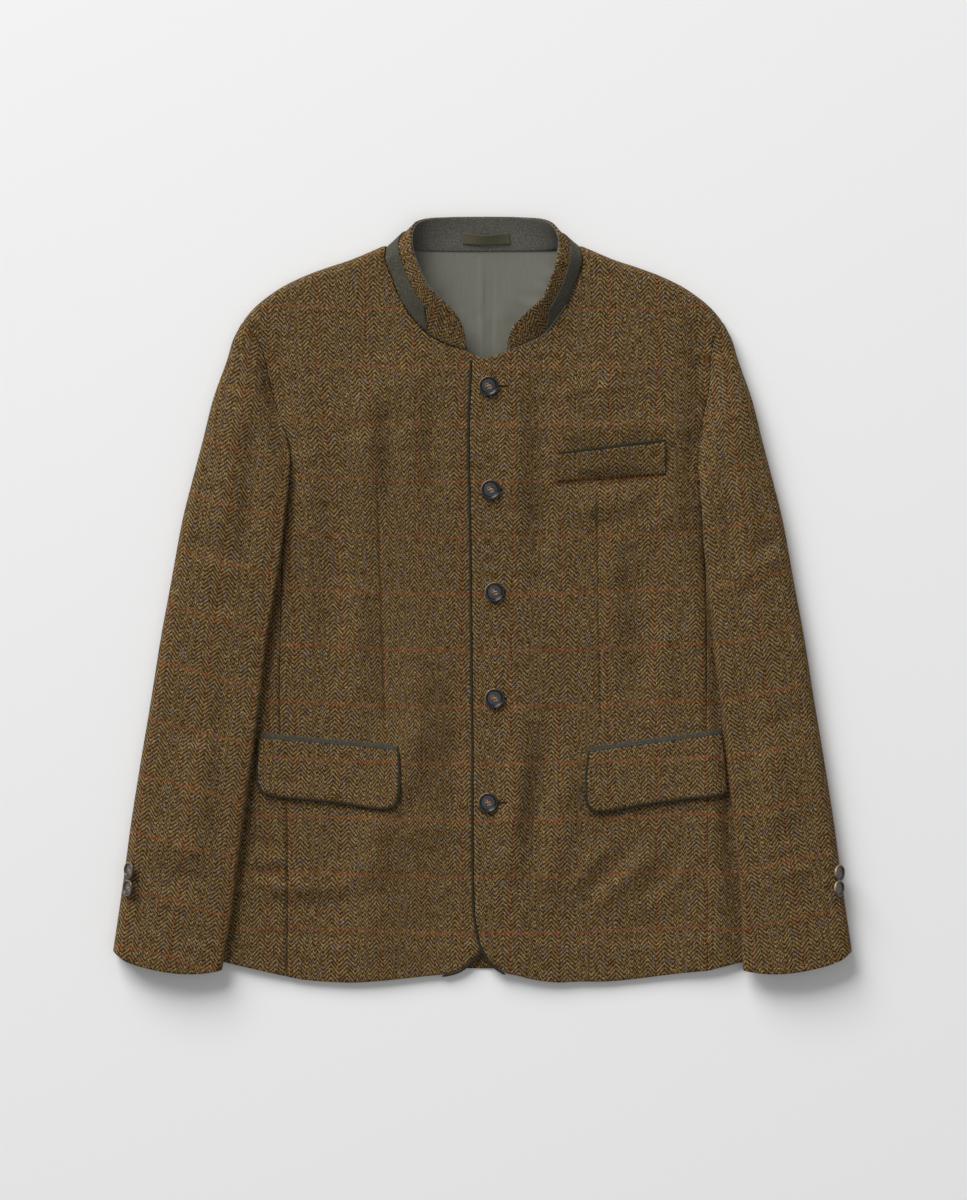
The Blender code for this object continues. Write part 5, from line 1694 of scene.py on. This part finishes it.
@dataclass(frozen=True)
class HornBrownPolished(BuffaloHornPolished):
    """Lighter horn of the cuff buttons, grey-brown with a tan dish."""

    dark: tuple[str, str] = ("#27221f", "#55493f")
    tan: tuple[str, str] = ("#a88b6c", "#6a523a")
    radius: float = CUFF_BUTTON_RADIUS


@dataclass(frozen=True)
class PolyesterThread(Finish):
    """Spun polyester sewing thread, dark brown, twisted: matt with a little gleam."""

    colour: str = "#2a2118"
    twist: float = 0.8976
    depth: float = 0.2

    def paint(self, name: str) -> None:
        """Builds the thread's twist."""
        g = Graph.started(name, Roughness=0.75, Specular_IOR_Level=0.25, Base_Color=linear(self.colour))
        x = g.add("SeparateXYZ", g.grain())
        leaning = g.add("ADD", x, x.node.outputs["Y"])
        twist = g.add("SINE", g.add("MULTIPLY", leaning, 2 * math.pi / self.twist))
        g.shade(Normal=g.add("Bump", Strength=0.6, Distance=self.depth * MM, Height=twist))


@dataclass(frozen=True)
class ShadowedSlit(PolyesterThread):
    """The cut inside a buttonhole: a dark strip of painted shadow."""

    colour: str = "#100c08"


@dataclass(frozen=True)
class PaperBackdrop(Finish):
    """Seamless studio paper, matt and nearly white."""

    colour: str = "#f2f2f2"

    def paint(self, name: str) -> None:
        """Builds the plain paper."""
        Graph.started(name, Roughness=0.95, Specular_IOR_Level=0.1, Base_Color=linear(self.colour))


# ---- buttons
@dataclass
class HornButtons:
    """Four-hole turned buttons with a thin raised rim, their threads and shanks, and buttonholes."""

    form: LaidForm
    front_finish: Finish
    cuff_finish: Finish
    thread: Finish
    slit: Finish
    front_radius: float = FRONT_BUTTON_RADIUS
    cuff_radius: float = CUFF_BUTTON_RADIUS
    thickness: float = 3.4
    front_stand: float = 0.8
    cuff_stand: float = 3.0
    cuff_tilt: float = math.radians(53)
    around: int = 72
    rings: int = 76
    hole_depth: float = 0.9
    hole_radius: float = 0.35
    hole_slope: float = 0.7
    # shares of the radius and the thickness, from the middle of the dish over the rim and underneath
    profile: tuple[Pair, ...] = (
        (0, 0.55), (0.25, 0.55), (0.52, 0.58), (0.66, 0.6), (0.7, 0.54), (0.735, 0.6), (0.78, 0.84),
        (0.82, 0.94), (0.88, 1), (0.94, 0.96), (0.98, 0.84), (1, 0.64), (0.99, 0.45), (0.95, 0.24),
        (0.84, 0.07), (0.72, 0), (0.3, 0), (0, 0),
    )
    shank_foot: float = 0.2
    shank_top: float = 0.4
    shank_radius: float = 1.5
    shank_waist: float = 0.45
    shank_windings: Pair = (0.12, 9.0)
    # where each buttonhole starts and ends beside its button's middle
    buttonholes: tuple[Pair, ...] = ((10, 20), (4, 12.5), (2, 11.5), (3, 12.5), (10, 19.5))
    buttonhole_half: float = 1.1
    buttonhole_height: float = 0.55
    slit_half: float = 0.35
    slit_height: float = 0.75
    stitch: float = 0.9
    stitch_depth: float = 0.14

    def disc(self, name: str, centre: Array, radius: float, tilt: float) -> bpy.types.Object:
        """One turned button.

        Args:
            name: the piece's name.
            centre: the middle of its underside.
            radius: its radius.
            tilt: how far it leans about the garment's length.

        Returns:
            The button's mesh object.
        """
        profile = np.array(self.profile, float)
        at = np.linspace(0, len(profile) - 1, self.rings)
        r = np.interp(at, np.arange(len(profile)), profile[:, 0])[1:-1] * radius
        h = np.interp(at, np.arange(len(profile)), profile[:, 1])[1:-1] * self.thickness
        angle = np.linspace(0, 2 * math.pi, self.around, endpoint=False)
        x, y = r[:, None] * np.cos(angle), r[:, None] * np.sin(angle)
        z = np.broadcast_to(h[:, None], x.shape)
        top = np.arange(len(r))[:, None] < len(r) // 2
        spread = HOLE_OFFSET * math.sqrt(2) * radius / self.front_radius
        for turn in range(4):
            bearing = math.pi * (0.25 + turn / 2) + HOLE_TURN
            distance = np.hypot(x - spread * math.cos(bearing), y - spread * math.sin(bearing))
            pit = 1 - smooth((distance - self.hole_radius) / self.hole_slope)
            z = z - top * pit * self.hole_depth
        ends = np.array(((0, 0, h[0]), (0, 0, h[-1])))
        points = np.vstack((np.stack((x, y, z), axis=-1).reshape(-1, 3), ends))
        k = np.arange(x.size).reshape(x.shape)
        after = np.roll(k, -1, axis=1)
        faces = [np.stack((k[:-1], k[1:], after[1:], after[:-1]), axis=-1).reshape(-1, 4),
                 np.stack((k[0], after[0], np.full(self.around, x.size)), axis=-1),
                 np.stack((after[-1], k[-1], np.full(self.around, x.size + 1)), axis=-1)]
        leaned = np.array(((math.cos(tilt), 0, math.sin(tilt)), (0, 1, 0),
                           (-math.sin(tilt), 0, math.cos(tilt))))
        return mesh_object(name, points @ leaned.T + centre, faces, points[:, :2])

    def shank(self, name: str, foot: Array, height: float, node: str) -> None:
        """The threads under a button, wound into a short neck.

        Args:
            name: the piece's name.
            foot: the middle of its lower end.
            height: how tall it is.
            node: the node that it belongs to.
        """
        z, angle = np.meshgrid(np.linspace(0, height, 40), np.linspace(0, 2 * math.pi, 33), indexing="ij")
        winding, turns = self.shank_windings
        waist = (self.shank_radius - self.shank_waist * np.sin(math.pi * z / height)
                 + winding * np.sin(turns * z))
        points = np.stack((waist * np.cos(angle), waist * np.sin(angle), z), axis=-1) + foot
        grain = np.stack((self.shank_radius * angle, z), axis=-1)
        settled(mesh_object(name, points, [grid_faces(*z.shape)], grain), self.thread, node)

    def buttonhole(self, k: int, x: float, y: float) -> None:
        """One worked buttonhole that runs from under its button towards the side, with its slit.

        Args:
            k: the button's number.
            x, y: the button's middle.
        """
        start, end = self.buttonholes[k - 1]
        s, t = np.meshgrid(np.linspace(0, 1, 90), np.linspace(-1, 1, 15), indexing="ij")
        ends = np.sqrt(np.clip(1 - np.abs(2 * s - 1) ** 14, 0, 1))
        wave = np.sin(2 * math.pi * (end - start) * s / self.stitch)
        waves = 1 - self.stitch_depth + self.stitch_depth * wave
        # the slit is a near-black strip of painted shadow, standing for the shade in the cut
        for word, finish, half, height, width in (
                ("stitches", self.thread, self.buttonhole_half, self.buttonhole_height, waves),
                ("slit", self.slit, self.slit_half, self.slit_height, 1.0)):
            points = self.form.front(Side.LEFT, x + start + (end - start) * s, y + t * half * ends * width)
            points[..., 2] += 0.08 + height * np.sqrt(np.clip(1 - t ** 2, 0, 1)) * ends
            grain = np.stack(((end - start) * s, t * half), axis=-1)
            faces = grid_faces(*s.shape)[:, (0, 3, 2, 1)]
            made = mesh_object(f"buttonhole_{k}_{word}", points, [faces], grain)
            settled(made, finish, "front_left")

    def build(self) -> None:
        """Makes the front and the cuff buttons."""
        for k, (x, y) in enumerate(FRONT_BUTTONS, 1):
            top = self.form.front(Side.LEFT, np.array((float(x),)), np.array((float(y),)))[0, 2]
            foot = np.array((x, y, top - self.shank_foot))
            self.shank(f"front_button_{k}_shank", foot, self.front_stand + self.shank_top,
                       f"button_front_{k}")
            self.buttonhole(k, x, y)
            made = self.disc(f"front_button_{k}", np.array((x, y, top + self.front_stand)),
                             self.front_radius, 0.0)
            settled(made, self.front_finish, f"button_front_{k}")
        for side, places in CUFF_BUTTONS.items():
            outer = np.array(SLEEVE_OUTER, float)[::-1]
            for k, (x, y) in enumerate(places, 1):
                fold = np.interp(y, outer[:, 1], outer[:, 0])
                turn = math.acos(1 - (fold - x) / self.form.sleeve_roll_out)
                height = self.form.sleeve_roll_out * (1 + math.sin(turn)) + self.cuff_stand
                made = self.disc(f"{side.word}_cuff_button_{k}", np.array((side.value * x, y, height)),
                                 self.cuff_radius, side.value * self.cuff_tilt)
                settled(made, self.cuff_finish, f"cuff_buttons_{side.word}")


# ---- studio
@dataclass(frozen=True)
class SoftLight:
    """A square soft light: its name, its place and its side in metres, and its power in watts."""

    name: str
    place: tuple[float, float, float]
    size: float
    power: float


@dataclass
class Studio:
    """A pale paper floor, soft light from beyond the collar and all round, and a camera overhead."""

    paper: Finish
    floor_width: float = 9.0
    camera_height: float = 4.5
    lens: float = 135.0
    sensor: float = 36.0
    centre: Pair = (0.001, 0.0)
    lights: tuple[SoftLight, ...] = (SoftLight("window_soft", (-4.2, 7.2, 5.2), 6.0, 1160.0),
                                     SoftLight("fill_soft", (0.8, -0.6, 4.0), 3.0, 19.0))
    sky: str = "#ffffff"
    sky_strength: float = 0.245

    def floor(self) -> None:
        """The paper, just under the jacket."""
        half = self.floor_width / 2 / MM
        points = np.array(((-half, -half, 0), (half, -half, 0), (half, half, 0), (-half, half, 0)), float)
        made = mesh_object("paper_floor", points + (0, MID_LENGTH, 0), [np.array(((0, 1, 2, 3),))])
        made.data.materials.append(self.paper.material())

    def light(self, light: SoftLight) -> None:
        """Makes one light, which looks at the jacket."""
        lamp = bpy.data.lights.new(light.name, "AREA")
        lamp.shape, lamp.size, lamp.energy = "SQUARE", light.size, light.power
        made = bpy.data.objects.new(light.name, lamp)
        made.location = light.place
        made.rotation_euler = (-Vector(light.place)).to_track_quat("-Z", "Y").to_euler()
        bpy.context.scene.collection.objects.link(made)

    def build(self) -> None:
        """Makes the floor, the lights, the sky and the camera."""
        self.floor()
        for light in self.lights:
            self.light(light)
        world = bpy.data.worlds.new("studio")
        world.use_nodes = True
        background = world.node_tree.nodes["Background"]
        background.inputs["Color"].default_value = linear(self.sky)
        background.inputs["Strength"].default_value = self.sky_strength
        bpy.context.scene.world = world
        lens = bpy.data.cameras.new("overhead")
        lens.lens, lens.sensor_width, lens.sensor_fit = self.lens, self.sensor, "AUTO"
        camera = bpy.data.objects.new("overhead", lens)
        camera.location = (*self.centre, self.camera_height)
        bpy.context.scene.collection.objects.link(camera)
        bpy.context.scene.camera = camera
        bpy.context.scene.view_settings.view_transform = "Standard"


def main() -> None:
    """Builds the jacket's pieces in order, then the studio round them."""
    logging.basicConfig(level=logging.INFO, format="%(name)s: %(message)s")
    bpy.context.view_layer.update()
    form = LaidForm.laid()
    tweed, felt = WoolTweedHerringbone(), WoolFeltMilled()
    BodyPanels(form, tweed).build()
    Sleeves(form, tweed).build()
    StandCollar(form, tweed, felt, WoolFeltPale(), CottonTapeTwill()).build()
    Lining(form, ViscoseSatinLining()).build()
    Trims(form, tweed, felt, WoolFeltShadePainted()).build()
    HornButtons(form, BuffaloHornPolished(), HornBrownPolished(), PolyesterThread(), ShadowedSlit()).build()
    Studio(PaperBackdrop()).build()


if __name__ == "__main__":
    main()
